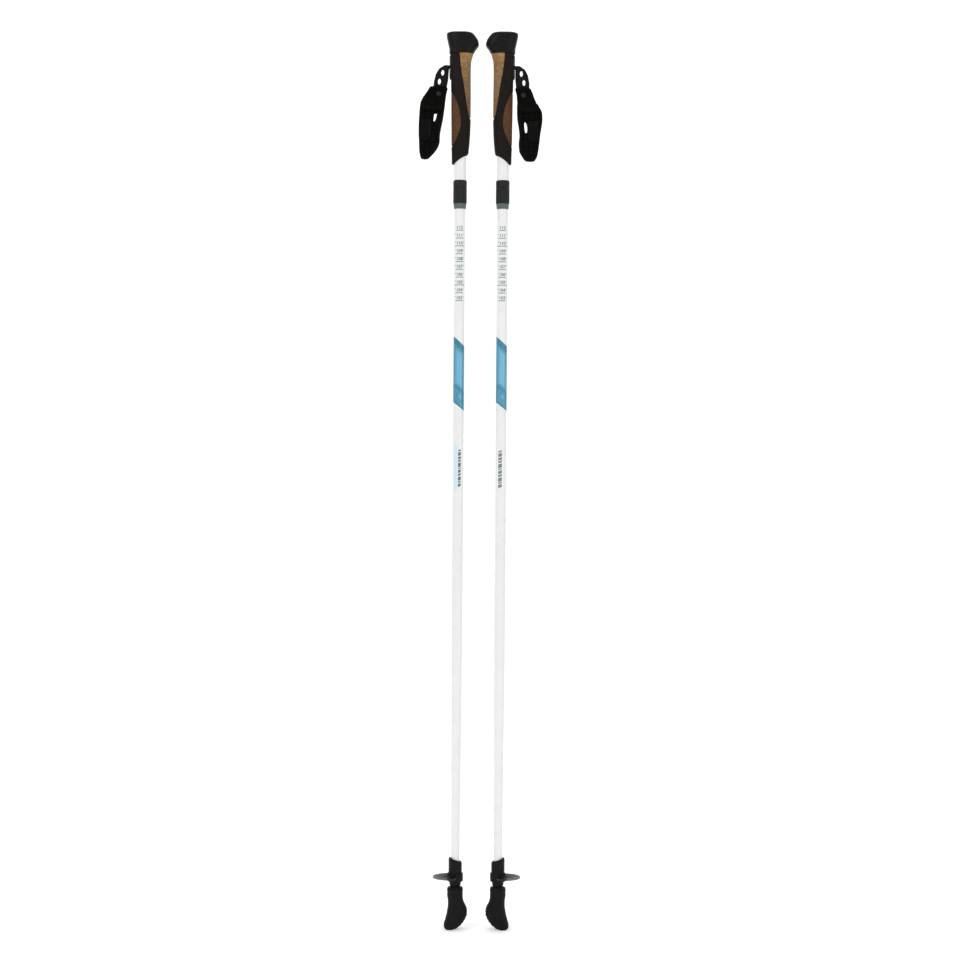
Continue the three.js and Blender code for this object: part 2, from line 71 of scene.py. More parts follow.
CLIP = [[10.6, 1104.9], [15.0, 1104.6], [15.1, 1090], [16.6, 1076], [20.5, 1065], [25, 1063], [30.5, 1064.5], [33.5, 1074], [33.2, 1086],
        [31.4, 1096], [27.4, 1103.6], [20.4, 1108.3], [10.6, 1108.1]]
SLANT = lambda x: 987.5 - 0.62 * x       # the handle's lower edge


# ------------------------------------------------------------------ small mathematics
def table(rows, zs):
    """Smooth values of a table [[z, a, b, ...], ...] at zs, with no overshoot."""
    R = np.array(rows, float)
    z, v = R[:, 0], R[:, 1:]
    zs = np.clip(np.atleast_1d(np.asarray(zs, float)), z[0], z[-1])
    h = np.diff(z)[:, None]
    d = np.diff(v, axis=0) / h
    m = np.zeros_like(v)
    m[0], m[-1] = d[0], d[-1]
    for i in range(1, len(z) - 1):
        h0, h1 = h[i - 1, 0], h[i, 0]
        w0, w1 = 2 * h1 + h0, h1 + 2 * h0
        for k in range(v.shape[1]):
            if d[i - 1, k] * d[i, k] > 0:
                m[i, k] = (w0 + w1) / (w0 / d[i - 1, k] + w1 / d[i, k])
    i = np.clip(np.searchsorted(z, zs, side="right") - 1, 0, len(z) - 2)
    t = ((zs - z[i]) / (z[i + 1] - z[i]))[:, None]
    H = (z[i + 1] - z[i])[:, None]
    return ((2 * t**3 - 3 * t**2 + 1) * v[i] + (t**3 - 2 * t**2 + t) * H * m[i]
            + (-2 * t**3 + 3 * t**2) * v[i + 1] + (t**3 - t**2) * H * m[i + 1])


def step(a, b, x):
    t = np.clip((np.asarray(x, float) - a) / (b - a), 0, 1)
    return t * t * (3 - 2 * t)


def oval_ring(x0, x1, w, k, theta):
    c, s = np.cos(theta), np.sin(theta)
    e = 2 / k
    return ((x0 + x1) / 2 + (x1 - x0) / 2 * np.sign(c) * np.abs(c)**e, w * np.sign(s) * np.abs(s)**e)


def angle_at(x, x0, x1, k):
    """The angle, from 0 to pi, at which an oval's edge has that x."""
    q = (x - (x0 + x1) / 2) / ((x1 - x0) / 2)
    q = np.clip(q, -1, 1)
    return np.arccos(np.sign(q) * np.abs(q)**(k / 2))


def round_corners(pts, radius, n=4, closed=True):
    """Replaces each corner of a polyline with an arc of that radius, or less where a side is short."""
    P = [np.array(p, float) for p in pts]
    out = []
    m = len(P)
    for i in range(m):
        if not closed and i in (0, m - 1):
            out.append(P[i])
            continue
        a, b, c = P[i - 1], P[i], P[(i + 1) % m]
        u, v = a - b, c - b
        lu, lv = np.linalg.norm(u), np.linalg.norm(v)
        if lu < 1e-6 or lv < 1e-6:
            continue
        u, v = u / lu, v / lv
        ang = math.acos(max(-1, min(1, float(u @ v))))
        if ang > 3.05:
            out.append(b)
            continue
        d = min(radius / math.tan(ang / 2), 0.45 * lu, 0.45 * lv)
        p, q = b + u * d, b + v * d
        for j in range(n + 1):
            t = j / n
            out.append((1 - t)**2 * p + 2 * t * (1 - t) * b + t * t * q)
    return [tuple(p) for p in out]


# ------------------------------------------------------------------ mesh building, in millimetres
def rings(levels, closed_ring=True, caps=True, loop=False):
    """Faces through a stack of rings with the same number of points."""
    V = np.concatenate([np.asarray(r, float) for r in levels])
    n, m = len(levels[0]), len(levels)
    F = []
    last = n if closed_ring else n - 1
    for i in range(m if loop else m - 1):
        a, b = i * n, ((i + 1) % m) * n
        for j in range(last):
            k = (j + 1) % n
            F.append((a + j, a + k, b + k, b + j))
    if caps and not loop:
        F.append(tuple(range(n))[::-1])
        F.append(tuple(range((m - 1) * n, m * n)))
    return V, F


def lathe(profile, n=96, wave=None, axis="z", centre=(0, 0)):
    """A closed profile of (radius, height) turned about Z (or Y). wave(theta, r, z) gives a change of radius."""
    th = np.linspace(0, 2 * pi, n, endpoint=False)
    L = []
    for r, z in profile:
        rr = np.full(n, float(r))
        if wave is not None:
            rr = rr + wave(th, r, z)
        if axis == "z":
            L.append(np.c_[centre[0] + rr * np.cos(th), centre[1] + rr * np.sin(th), np.full(n, z)])
        else:
            L.append(np.c_[centre[0] + rr * np.cos(th), np.full(n, z), centre[1] + rr * np.sin(th)])
    on_axis = profile[0][0] < 1e-6 and profile[-1][0] < 1e-6
    if on_axis:
        V, F = rings(L[1:-1], caps=False)
        k, m = len(V), len(L) - 2
        first, lastp = L[0][0], L[-1][0]
        V = np.vstack([V, first, lastp])
        for j in range(n):
            F.append((k, (j + 1) % n, j))
            F.append((k + 1, (m - 1) * n + j, (m - 1) * n + (j + 1) % n))
        return V, F
    return rings(L, loop=True)


def join(*meshes):
    V, F, k = [], [], 0
    for v, f in meshes:
        V.append(np.asarray(v, float))
        F += [tuple(i + k for i in face) for face in f]
        k += len(v)
    return np.vstack(V), F


def temp(V, F, name="tmp"):
    me = bpy.data.meshes.new(name)
    me.from_pydata([tuple(map(float, v)) for v in V], [], [tuple(int(i) for i in f) for f in F])
    me.update()
    bm = bmesh.new()
    bm.from_mesh(me)
    bmesh.ops.recalc_face_normals(bm, faces=bm.faces)
    bm.to_mesh(me)
    bm.free()
    ob = bpy.data.objects.new(name, me)
    bpy.context.scene.collection.objects.link(ob)
    return ob


def arrays(me):
    V = np.empty(len(me.vertices) * 3)
    me.vertices.foreach_get("co", V)
    return V.reshape(-1, 3), [tuple(p.vertices) for p in me.polygons]


def evaluated(ob):
    dg = bpy.context.evaluated_depsgraph_get()
    me = bpy.data.meshes.new_from_object(ob.evaluated_get(dg))
    V, F = arrays(me)
    bpy.data.meshes.remove(me)
    return V, F


def drop(ob):
    data = ob.data
    bpy.data.objects.remove(ob, do_unlink=True)
    if isinstance(data, bpy.types.Mesh):
        bpy.data.meshes.remove(data)
    elif data is not None:
        bpy.data.curves.remove(data)


def boolean(base, others, op="DIFFERENCE"):
    a = temp(*base)
    bs = [temp(*o) for o in others]
    for b in bs:
        m = a.modifiers.new("b", "BOOLEAN")
        m.operation, m.object, m.solver = op, b, "EXACT"
    V, F = evaluated(a)
    for o in [a] + bs:
        drop(o)
    return V, F


def prism(points, depth, bevel=0.0, holes=(), plane="xz", centre=0.0, res=3):
    """A flat outline with rounded edges. plane xz: [x, z] with the thickness along Y. plane xy: the thickness along Z."""
    cu = bpy.data.curves.new("outline", "CURVE")
    cu.dimensions, cu.fill_mode = "2D", "BOTH"
    for loop in [points, *holes]:
        sp = cu.splines.new("POLY")
        sp.points.add(len(loop) - 1)
        for p, q in zip(sp.points, loop):
            p.co = (q[0], q[1], 0, 1)
        sp.use_cyclic_u = True
    cu.extrude, cu.bevel_depth, cu.bevel_resolution, cu.offset = depth / 2 - bevel, bevel, res, -bevel
    ob = bpy.data.objects.new("outline", cu)
    bpy.context.scene.collection.objects.link(ob)
    V, F = evaluated(ob)
    drop(ob)
    V = V.copy()
    if plane == "xz":
        V = np.c_[V[:, 0], centre - V[:, 2], V[:, 1]]
    else:
        V = np.c_[V[:, 0], V[:, 1], centre + V[:, 2]]
    return weld(V, F)


def weld(V, F, dist=1e-4):
    ob = temp(V, F)
    bm = bmesh.new()
    bm.from_mesh(ob.data)
    bmesh.ops.remove_doubles(bm, verts=bm.verts, dist=dist)
    bmesh.ops.recalc_face_normals(bm, faces=bm.faces)
    bm.to_mesh(ob.data)
    bm.free()
    V, F = arrays(ob.data)
    V = V.copy()
    drop(ob)
    return V, F


def block(x0, x1, y0, y1, z0, z1, bevel=0.0):
    V = [(x, y, z) for z in (z0, z1) for y in (y0, y1) for x in (x0, x1)]
    F = [(0, 2, 3, 1), (4, 5, 7, 6), (0, 1, 5, 4), (2, 6, 7, 3), (0, 4, 6, 2), (1, 3, 7, 5)]
    if not bevel:
        return np.array(V, float), F
    ob = temp(V, F)
    m = ob.modifiers.new("bevel", "BEVEL")
    m.width, m.segments, m.limit_method = bevel, 3, "NONE"
    V, F = evaluated(ob)
    V = V.copy()
    drop(ob)
    return V, F


def sheet_grid(P, N, thick, edge=0.5):
    """A closed slab: a grid of middle points P[i, j], outward normals N[i, j] and a half thickness for each."""
    P, N = np.asarray(P, float), np.asarray(N, float)
    m, n = P.shape[:2]
    half = np.broadcast_to(np.asarray(thick, float) / 2, (m, n)).copy()
    top, bot = P + N * half[..., None], P - N * half[..., None]
    V = np.vstack([top.reshape(-1, 3), bot.reshape(-1, 3)])
    idx = lambda s, i, j: s * m * n + i * n + j
    F = []
    for i in range(m - 1):
        for j in range(n - 1):
            F.append((idx(0, i, j), idx(0, i + 1, j), idx(0, i + 1, j + 1), idx(0, i, j + 1)))
            F.append((idx(1, i, j), idx(1, i, j + 1), idx(1, i + 1, j + 1), idx(1, i + 1, j)))
    for i in range(m - 1):
        for j in (0, n - 1):
            F.append((idx(0, i, j), idx(0, i + 1, j), idx(1, i + 1, j), idx(1, i, j)))
    for j in range(n - 1):
        for i in (0, m - 1):
            F.append((idx(0, i, j), idx(1, i, j), idx(1, i, j + 1), idx(0, i, j + 1)))
    return V, F


def tube_along(path, r, n=10, closed=False):
    """A tube of radius r along points."""
    P = np.asarray(path, float)
    m = len(P)
    T = np.gradient(P, axis=0) if not closed else (np.roll(P, -1, 0) - np.roll(P, 1, 0))
    T /= np.linalg.norm(T, axis=1)[:, None]
    up = np.array([0.3, 1.0, 0.2])
    L, prev = [], None
    for p, t in zip(P, T):
        u = (prev if prev is not None else np.cross(t, up))
        u = u - t * (u @ t)
        u /= np.linalg.norm(u)
        prev = u
        v = np.cross(t, u)
        a = np.linspace(0, 2 * pi, n, endpoint=False)
        L.append(p + r * (np.cos(a)[:, None] * u + np.sin(a)[:, None] * v))
    return rings(L, loop=closed)


def place(side, V, tilt=False, world=False):
    V = np.asarray(V, float).copy()
    if world:                             # x counted to the right on both poles, from the pole's axis
        V[:, 0] = SHIFT + SGN[side] * HALF + V[:, 0]
        return V * 0.001
    if tilt and STRAP_TILT[side]:
        a = math.radians(STRAP_TILT[side])
        x, z = V[:, 0] - PIVOT[0], V[:, 2] - PIVOT[1]
        V[:, 0], V[:, 2] = PIVOT[0] + x * cos(a) - z * sin(a), PIVOT[1] + x * sin(a) + z * cos(a)
    V[:, 0] = SHIFT + SGN[side] * (HALF + V[:, 0])
    return V * 0.001


def make(name, side, mesh, mat, body, nodes=(), tilt=False, world=False, sharp=35, smooth=True):
    V, F = mesh
    W = place(side, V, tilt, world)
    me = bpy.data.meshes.new(f"{side}_{name}")
    me.from_pydata([tuple(map(float, v)) for v in W], [], [tuple(int(i) for i in f) for f in F])
    me.update()
    bm = bmesh.new()
    bm.from_mesh(me)
    bmesh.ops.recalc_face_normals(bm, faces=bm.faces)
    bm.to_mesh(me)
    bm.free()
    if smooth:
        me.shade_smooth()
        me.set_sharp_from_angle(angle=math.radians(sharp))
    me.materials.append(mat)
    ob = bpy.data.objects.new(f"{side}_{name}", me)
    bpy.context.scene.collection.objects.link(ob)
    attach(ob, f"{side}_{body}")
    if nodes:
        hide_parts(*[f"{side}_{n}" for n in nodes])
    return ob


# ------------------------------------------------------------------ materials
def new_material(name):
    m = bpy.data.materials.new(name)
    m.use_nodes = True
    nt = m.node_tree
    nt.nodes.clear()
    out = nt.nodes.new("ShaderNodeOutputMaterial")
    b = nt.nodes.new("ShaderNodeBsdfPrincipled")
    nt.links.new(b.outputs[0], out.inputs[0])
    co = nt.nodes.new("ShaderNodeTexCoord")
    return m, nt, b, co.outputs["Object"]


def node(nt, kind, **kw):
    n = nt.nodes.new(kind)
    for k, v in kw.items():
        if k in n.inputs:
            n.inputs[k].default_value = v
        else:
            setattr(n, k, v)
    return n


def noise(nt, co, scale, detail=3.0, rough=0.5, stretch=None):
    n = node(nt, "ShaderNodeTexNoise", Scale=scale, Detail=detail, Roughness=rough)
    if stretch:
        mp = node(nt, "ShaderNodeMapping")
        mp.inputs["Scale"].default_value = stretch
        nt.links.new(co, mp.inputs[0])
        co = mp.outputs[0]
    nt.links.new(co, n.inputs["Vector"])
    return n.outputs["Fac"]


def ramp(nt, fac, stops, mode="LINEAR"):
    r = node(nt, "ShaderNodeValToRGB")
    r.color_ramp.interpolation = mode
    els = r.color_ramp.elements
    while len(els) > 1:
        els.remove(els[-1])
    els[0].position, els[0].color = stops[0][0], (*stops[0][1], 1)
    for p, c in stops[1:]:
        e = els.new(p)
        e.color = (*c, 1)
    nt.links.new(fac, r.inputs[0])
    return r.outputs[0]


def math_node(nt, op, a, b=None, clamp=False):
    n = node(nt, "ShaderNodeMath", operation=op, use_clamp=clamp)
    for i, v in enumerate((a, b)):
        if v is None:
            continue
        if isinstance(v, (int, float)):
            n.inputs[i].default_value = v
        else:
            nt.links.new(v, n.inputs[i])
    return n.outputs[0]


def map_range(nt, v, a, b, c, d):
    n = node(nt, "ShaderNodeMapRange")
    for k, q in zip(("From Min", "From Max", "To Min", "To Max"), (a, b, c, d)):
        n.inputs[k].default_value = q
    nt.links.new(v, n.inputs["Value"])
    return n.outputs[0]


def mix(nt, fac, a, b, mode="MIX"):
    n = node(nt, "ShaderNodeMix", data_type="RGBA", blend_type=mode)
    for s, v in ((n.inputs["Factor"], fac), (n.inputs[6], a), (n.inputs[7], b)):
        if isinstance(v, (int, float)):
            s.default_value = v
        elif isinstance(v, tuple):
            s.default_value = (*v, 1) if len(v) == 3 else v
        else:
            nt.links.new(v, s)
    return n.outputs[2]


def bump(nt, b, height, strength, distance):
    n = node(nt, "ShaderNodeBump", Strength=strength, Distance=distance)
    nt.links.new(height, n.inputs["Height"])
    if b.inputs["Normal"].is_linked:
        nt.links.new(b.inputs["Normal"].links[0].from_socket, n.inputs["Normal"])
    nt.links.new(n.outputs[0], b.inputs["Normal"])


def simple(name, c0, c1, rough, spread=0.08, scale=350.0, grain=2500.0, grain_depth=0.00003, metal=0.0, coat=0.0, specular=0.5, strength=0.4):
    """Moulded or painted surface: two close tones in soft patches, roughness that varies, a fine grain."""
    m, nt, b, co = new_material(name)
    f = noise(nt, co, scale, 4.0, 0.55)
    nt.links.new(ramp(nt, f, [(0.3, c0), (0.7, c1)]), b.inputs["Base Color"])
    nt.links.new(map_range(nt, f, 0.25, 0.75, rough - spread, rough + spread), b.inputs["Roughness"])
    b.inputs["Metallic"].default_value = metal
    b.inputs["Coat Weight"].default_value = coat
    b.inputs["Coat Roughness"].default_value = 0.12
    b.inputs["Specular IOR Level"].default_value = specular
    bump(nt, b, noise(nt, co, grain, 3.0, 0.6), strength, grain_depth)
    return m


M = {}
M["white"] = simple("white_lacquer", (0.79, 0.79, 0.79), (0.825, 0.826, 0.828), 0.30, 0.05, 60.0, 1400.0, 0.00001, coat=0.35, strength=0.15)
M["white_in"] = M["white"]
M["ink"] = simple("grey_ink", (0.16, 0.25, 0.28), (0.21, 0.31, 0.34), 0.45, 0.05, 900.0, 4000.0, 0.000005)
M["ink_pale"] = simple("pale_grey_ink", (0.15, 0.18, 0.195), (0.19, 0.22, 0.235), 0.42, 0.05, 900.0, 4000.0, 0.000005)
M["ink_dark"] = simple("dark_ink", (0.09, 0.125, 0.145), (0.125, 0.165, 0.19), 0.42, 0.05, 900.0, 4000.0, 0.000005)
M["pale_blue"] = simple("pale_blue_ink", (0.56, 0.75, 0.85), (0.62, 0.80, 0.90), 0.4, 0.05, 300.0, 3000.0, 0.000005)
M["plastic"] = simple("black_plastic", (0.0045, 0.0042, 0.0040), (0.0085, 0.0080, 0.0076), 0.40, 0.07, 240.0, 3200.0, 0.00005, specular=0.12)
M["collar"] = simple("collar_plastic", (0.009, 0.0095, 0.010), (0.015, 0.016, 0.0165), 0.42, 0.06, 260.0, 2800.0, 0.00005, specular=0.2)
M["button"] = simple("button_plastic", (0.010, 0.010, 0.0105), (0.017, 0.017, 0.0175), 0.36, 0.06, 300.0, 3000.0, 0.00003, specular=0.18)
M["nylon"] = simple("dark_nylon", (0.020, 0.021, 0.022), (0.032, 0.033, 0.035), 0.55, 0.06, 300.0, 2500.0, 0.00003)
M["wiper"] = simple("grey_plastic", (0.075, 0.093, 0.098), (0.105, 0.125, 0.13), 0.5, 0.06, 320.0, 2600.0, 0.00003)
M["rubber"] = simple("grip_rubber", (0.0055, 0.0038, 0.0030), (0.0105, 0.0072, 0.0056), 0.60, 0.08, 180.0, 1500.0, 0.00014, specular=0.12, strength=0.5)
M["pad"] = simple("pad_rubber", (0.0036, 0.0036, 0.0036), (0.0072, 0.0071, 0.0070), 0.58, 0.09, 160.0, 1900.0, 0.0001, specular=0.12, strength=0.5)
M["steel"] = simple("bright_steel", (0.50, 0.51, 0.52), (0.62, 0.62, 0.62), 0.26, 0.06, 500.0, 2500.0, 0.00001, metal=1.0, strength=0.2)
M["dark_steel"] = simple("blackened_steel", (0.006, 0.006, 0.0062), (0.012, 0.012, 0.0125), 0.40, 0.06, 500.0, 2500.0, 0.00001, specular=0.25, strength=0.2)
M["carbide"] = simple("carbide", (0.20, 0.20, 0.21), (0.30, 0.30, 0.31), 0.42, 0.08, 900.0, 6000.0, 0.00002, metal=1.0)


def basket_material():
    m, nt, b, co = new_material("basket_plastic")
    f = noise(nt, co, 220.0, 4.0, 0.55)
    xyz = node(nt, "ShaderNodeSeparateXYZ")
    nt.links.new(co, xyz.inputs[0])
    reach = math_node(nt, "SUBTRACT", math_node(nt, "ABSOLUTE", math_node(nt, "SUBTRACT", xyz.outputs[0], SHIFT * 0.001)), HALF * 0.001)
    # the basket is nearly black up to 7.5 mm out from the pole's axis and grey from 14.5 mm on, towards its rim
    grey_towards_rim = map_range(nt, reach, 0.0075, 0.0145, 0.0, 1.0)
    nt.links.new(mix(nt, grey_towards_rim, ramp(nt, f, [(0.3, (0.008, 0.008, 0.008)), (0.7, (0.014, 0.014, 0.014))]),
                     ramp(nt, f, [(0.3, (0.12, 0.12, 0.12)), (0.7, (0.165, 0.165, 0.165))])), b.inputs["Base Color"])
    b.inputs["Specular IOR Level"].default_value = 0.25
    nt.links.new(map_range(nt, f, 0.25, 0.75, 0.36, 0.5), b.inputs["Roughness"])
    bump(nt, b, noise(nt, co, 2600.0, 3.0, 0.6), 0.4, 0.00004)
    return m


M["basket"] = basket_material()


def cork_material(name, shade):
    m, nt, b, co = new_material(name)
    # pressed granules: cells of two sizes, each with a tone of its own, dark joints and small black flecks
    warp = node(nt, "ShaderNodeTexNoise", Scale=420.0, Detail=2.0)
    nt.links.new(co, warp.inputs["Vector"])
    off = node(nt, "ShaderNodeVectorMath", operation="SCALE")
    off.inputs["Scale"].default_value = 0.0012
    nt.links.new(warp.outputs["Color"], off.inputs[0])
    add = node(nt, "ShaderNodeVectorMath", operation="ADD")
    nt.links.new(co, add.inputs[0])
    nt.links.new(off.outputs[0], add.inputs[1])
    cells = node(nt, "ShaderNodeTexVoronoi", Scale=520.0)
    nt.links.new(add.outputs[0], cells.inputs["Vector"])
    small = node(nt, "ShaderNodeTexVoronoi", Scale=1300.0)
    nt.links.new(add.outputs[0], small.inputs["Vector"])
    sep = node(nt, "ShaderNodeSeparateColor")
    nt.links.new(cells.outputs["Color"], sep.inputs[0])
    tone = ramp(nt, sep.outputs[0], [(0.0, (0.23, 0.126, 0.058)), (0.35, (0.34, 0.202, 0.094)), (0.7, (0.44, 0.274, 0.130)), (1.0, (0.54, 0.354, 0.178))])
    sep2 = node(nt, "ShaderNodeSeparateColor")
    nt.links.new(small.outputs["Color"], sep2.inputs[0])
    tone = mix(nt, 0.35, tone, ramp(nt, sep2.outputs[1], [(0.0, (0.195, 0.105, 0.047)), (1.0, (0.51, 0.33, 0.168))]))
    edge = node(nt, "ShaderNodeTexVoronoi", Scale=520.0, feature="DISTANCE_TO_EDGE")
    nt.links.new(add.outputs[0], edge.inputs["Vector"])
    joint = map_range(nt, edge.outputs["Distance"], 0.0, 0.09, 1.0, 0.0)
    tone = mix(nt, math_node(nt, "MULTIPLY", joint, 0.45), tone, (0.095, 0.050, 0.023))
    fleck = map_range(nt, noise(nt, co, 900.0, 2.0, 0.4), 0.63, 0.70, 0.0, 0.85)
    tone = mix(nt, fleck, tone, (0.036, 0.020, 0.011))
    wide = noise(nt, co, 45.0, 2.0, 0.5)
    tone = mix(nt, 0.22, tone, ramp(nt, wide, [(0.35, (0.225, 0.127, 0.059)), (0.65, (0.55, 0.373, 0.187))]))
    # painted light and shade: the colour is multiplied by a ramp over height, darker low on the handle and lighter
    # towards its top
    xyz = node(nt, "ShaderNodeSeparateXYZ")
    nt.links.new(co, xyz.inputs[0])
    height = map_range(nt, xyz.outputs[2], 1.000, 1.125, 0.0, 1.0)
    tone = mix(nt, 1.0, tone, ramp(nt, height, shade), "MULTIPLY")
    nt.links.new(tone, b.inputs["Base Color"])
    nt.links.new(map_range(nt, sep.outputs[1], 0.0, 1.0, 0.72, 0.92), b.inputs["Roughness"])
    b.inputs["Specular IOR Level"].default_value = 0.3
    h = math_node(nt, "SUBTRACT", sep.outputs[2], math_node(nt, "MULTIPLY", joint, 1.2))
    bump(nt, b, h, 0.5, 0.00018)
    bump(nt, b, noise(nt, co, 2600.0, 3.0, 0.6), 0.4, 0.00006)
    return m


# painted light on the front inlay, lighter towards the handle's top; the rear inlay gets a copy darkened all over,
# painted shade
M["cork"] = cork_material("cork", [(0.35, (0.50, 0.44, 0.44)), (0.66, (0.62, 0.60, 0.66)), (0.80, (0.68, 0.65, 0.62)), (0.97, (0.90, 0.82, 0.62))])
M["cork_rear"] = cork_material("cork_shaded", [(0.0, (0.22, 0.155, 0.12)), (1.0, (0.30, 0.20, 0.15))])


def cloth_material(name, dark, light, rib=900.0, depth=0.00022, sheen=0.25, cross=True, rough=0.88):
    """Woven or knitted fabric: ribs both ways, threads of slightly different tone, lint."""
    m, nt, b, co = new_material(name)
    hs = []
    for axis in ("X", "Z"):
        w = node(nt, "ShaderNodeTexWave", wave_type="BANDS", bands_direction=axis, Scale=rib / 20.0 * (1.0 if axis == "X" else 1.35), Distortion=0.6, Detail=1.0)
        w.inputs["Detail Scale"].default_value = 3.0
        nt.links.new(co, w.inputs["Vector"])
        hs.append(w.outputs["Fac"])
    h = math_node(nt, "MULTIPLY", hs[0], hs[1]) if cross else hs[0]
    fine = noise(nt, co, 4200.0, 2.0, 0.6)
    patch = noise(nt, co, 150.0, 3.0, 0.55)
    v = math_node(nt, "ADD", math_node(nt, "MULTIPLY", h, 0.5), math_node(nt, "MULTIPLY", patch, 0.5))
    col = ramp(nt, v, [(0.15, dark), (0.75, light)])
    col = mix(nt, map_range(nt, fine, 0.62, 0.75, 0.0, 0.35), col, tuple(min(1, c * 2.2) for c in light))
    nt.links.new(col, b.inputs["Base Color"])
    nt.links.new(map_range(nt, fine, 0.2, 0.8, rough - 0.08, min(1.0, rough + 0.08)), b.inputs["Roughness"])
    b.inputs["Sheen Weight"].default_value = sheen
    b.inputs["Sheen Roughness"].default_value = 0.45
    b.inputs["Specular IOR Level"].default_value = 0.05
    bump(nt, b, h, 0.6, depth)
    bump(nt, b, fine, 0.35, 0.00005)
    return m


M["webbing"] = cloth_material("webbing", (0.0011, 0.0011, 0.0008), (0.0042, 0.0041, 0.0032), rib=1500.0, depth=0.00025, sheen=0.015)
M["padding"] = cloth_material("padded_knit", (0.0012, 0.0012, 0.0009), (0.0044, 0.0044, 0.0034), rib=900.0, depth=0.00018, sheen=0.02)
M["binding"] = cloth_material("binding_tape", (0.0024, 0.0027, 0.0025), (0.0070, 0.0078, 0.0072), rib=2200.0, depth=0.00015, sheen=0.03)
M["tab"] = cloth_material("tab_loop_fabric", (0.0022, 0.0024, 0.0021), (0.0066, 0.0073, 0.0064), rib=1800.0, depth=0.0002, sheen=0.05)
M["thread"] = cloth_material("stitch_thread", (0.009, 0.010, 0.009), (0.021, 0.023, 0.021), rib=4000.0, depth=0.00005, sheen=0.03)


def blue_material(name, lo, hi):
    m, nt, b, co = new_material(name)
    f = noise(nt, co, 120.0, 3.0, 0.5, stretch=(1, 1, 0.25))
    nt.links.new(ramp(nt, f, [(0.3, lo), (0.7, hi)]), b.inputs["Base Color"])
    nt.links.new(map_range(nt, f, 0.3, 0.7, 0.26, 0.36), b.inputs["Roughness"])
    b.inputs["Coat Weight"].default_value = 0.4
    b.inputs["Coat Roughness"].default_value = 0.1
    bump(nt, b, noise(nt, co, 1400.0, 2.0, 0.5), 0.15, 0.00001)
    return m


# four tones of the blue print: the two darker ones colour the printed rings, and the mid one is also the painted light
# on the foot; the two lighter ones are painted light and painted highlight on the band's front
M["blue"] = blue_material("blue_film", (0.120, 0.395, 0.56), (0.155, 0.45, 0.62))
M["blue_dark"] = blue_material("blue_film_dark", (0.028, 0.19, 0.29), (0.042, 0.235, 0.34))
M["blue_soft"] = blue_material("blue_film_painted_light", (0.09, 0.325, 0.475), (0.115, 0.375, 0.535))
M["blue_mid"] = blue_material("blue_film_mid", (0.055, 0.255, 0.39), (0.075, 0.30, 0.45))

# ------------------------------------------------------------------ tubes, lock, tip: turned pieces
white_upper = lathe(round_corners([(7.3, 951.4), (8.0, 951.4), (8.0, 1124), (7.3, 1124)], 0.25, 3), 96)
prof = [(4.8, 46), (5.5, 46)] + [(5.5, 70), (5.5, 92)]
for i in range(1, 25):                     # slow taper, eased at both ends
    t = i / 24
    prof.append((5.5 + 1.5 * float(step(-0.12, 1.06, t) - step(-0.12, 1.06, 0)) / float(step(-0.12, 1.06, 1) - step(-0.12, 1.06, 0)), 92 + 308 * t))
prof += [(7.0, z) for z in (480, 560, 640, 720, 800, 880, 940)] + [(7.0, 985.7), (6.8, 986), (6.3, 986), (6.3, 400), (4.8, 92)]
white_lower = lathe(prof, 96)
LOWER = [(z, r) for r, z in prof[2:-3]]
r_low = lambda z: float(np.interp(z, [p[0] for p in LOWER], [p[1] for p in LOWER]))

sleeve = lathe(round_corners([(7.15, 943), (7.95, 943), (7.95, 951.1), (8.55, 951.1), (8.8, 951.5), (8.8, 953.0), (8.55, 953.2), (8.55, 953.9), (8.8, 954.1),
                              (8.8, 959.2), (8.3, 960.6), (8.2, 960.6), (8.2, 951.2), (7.15, 951.2)], 0.2, 3), 128)
flute = lambda th, r, z: (-0.42 * (0.5 + 0.5 * np.cos(20 * th))**1.5 * float(step(932.2, 934.0, z) * (1 - step(947.6, 949.2, z)))) if r > 8.45 else 0.0 * th
nut_out = [(8.2, 931), (8.6, 931.3), (8.8, 932.0)] + [(8.8, z) for z in np.linspace(932.6, 948.8, 22)] + [(8.8, 949.6), (8.65, 950.3), (8.4, 950.8)]
nut = lathe([(7.4, 931)] + nut_out + [(8.3, 950.8), (8.3, 932.3), (7.4, 932.3)], 240, flute)
wiper = lathe(round_corners([(7.25, 924), (7.55, 924), (7.9, 926.5), (8.25, 930.4), (8.1, 930.7), (7.25, 930.7)], 0.25, 4), 96)


def slant_top(V, z0, z1, rise, radius):
    """Tilts everything above z0, fully from z1 on, so that the upper edge climbs towards +X."""
    V = V.copy()
    V[:, 2] += rise * (V[:, 0] / radius) * step(z0, z1, V[:, 2])
    return V


fer = [(0, 24.0), (3.6, 24.0), (4.6, 25.0), (5.2, 33.5), (5.95, 43.0), (6.45, 52.6), (6.5, 56.0), (7.0, 56.9), (7.4, 57.6), (7.4, 60.0), (7.9, 60.6),
       (8.6, 61.2), (8.6, 74.0), (8.45, 74.4), (8.45, 75.4), (8.6, 75.8), (8.6, 78.0), (8.45, 78.4), (8.45, 79.4), (8.6, 79.8), (8.6, 86.8), (8.35, 88.6),
       (7.7, 89.5), (6.1, 89.7), (5.75, 89.4), (5.75, 45.7), (2.6, 45.2), (2.6, 38.3), (0, 38.3)]
fv, ff = lathe(round_corners(fer, 0.35, 3, closed=False), 96)
ferrule = (slant_top(fv, 80, 88.5, 2.9, 8.6), ff)
holder = lathe(round_corners([(0, 23.6), (1.55, 23.6), (1.55, 19.3), (1.7, 19), (2.1, 19), (2.3, 19.4), (2.3, 38), (0, 38)], 0.15, 2, closed=False), 48)
crown = lambda th, r, z: (-0.22 * (0.5 + 0.5 * np.cos(8 * th)) if (z < 13.3 and r > 0.6) else 0.0 * th)
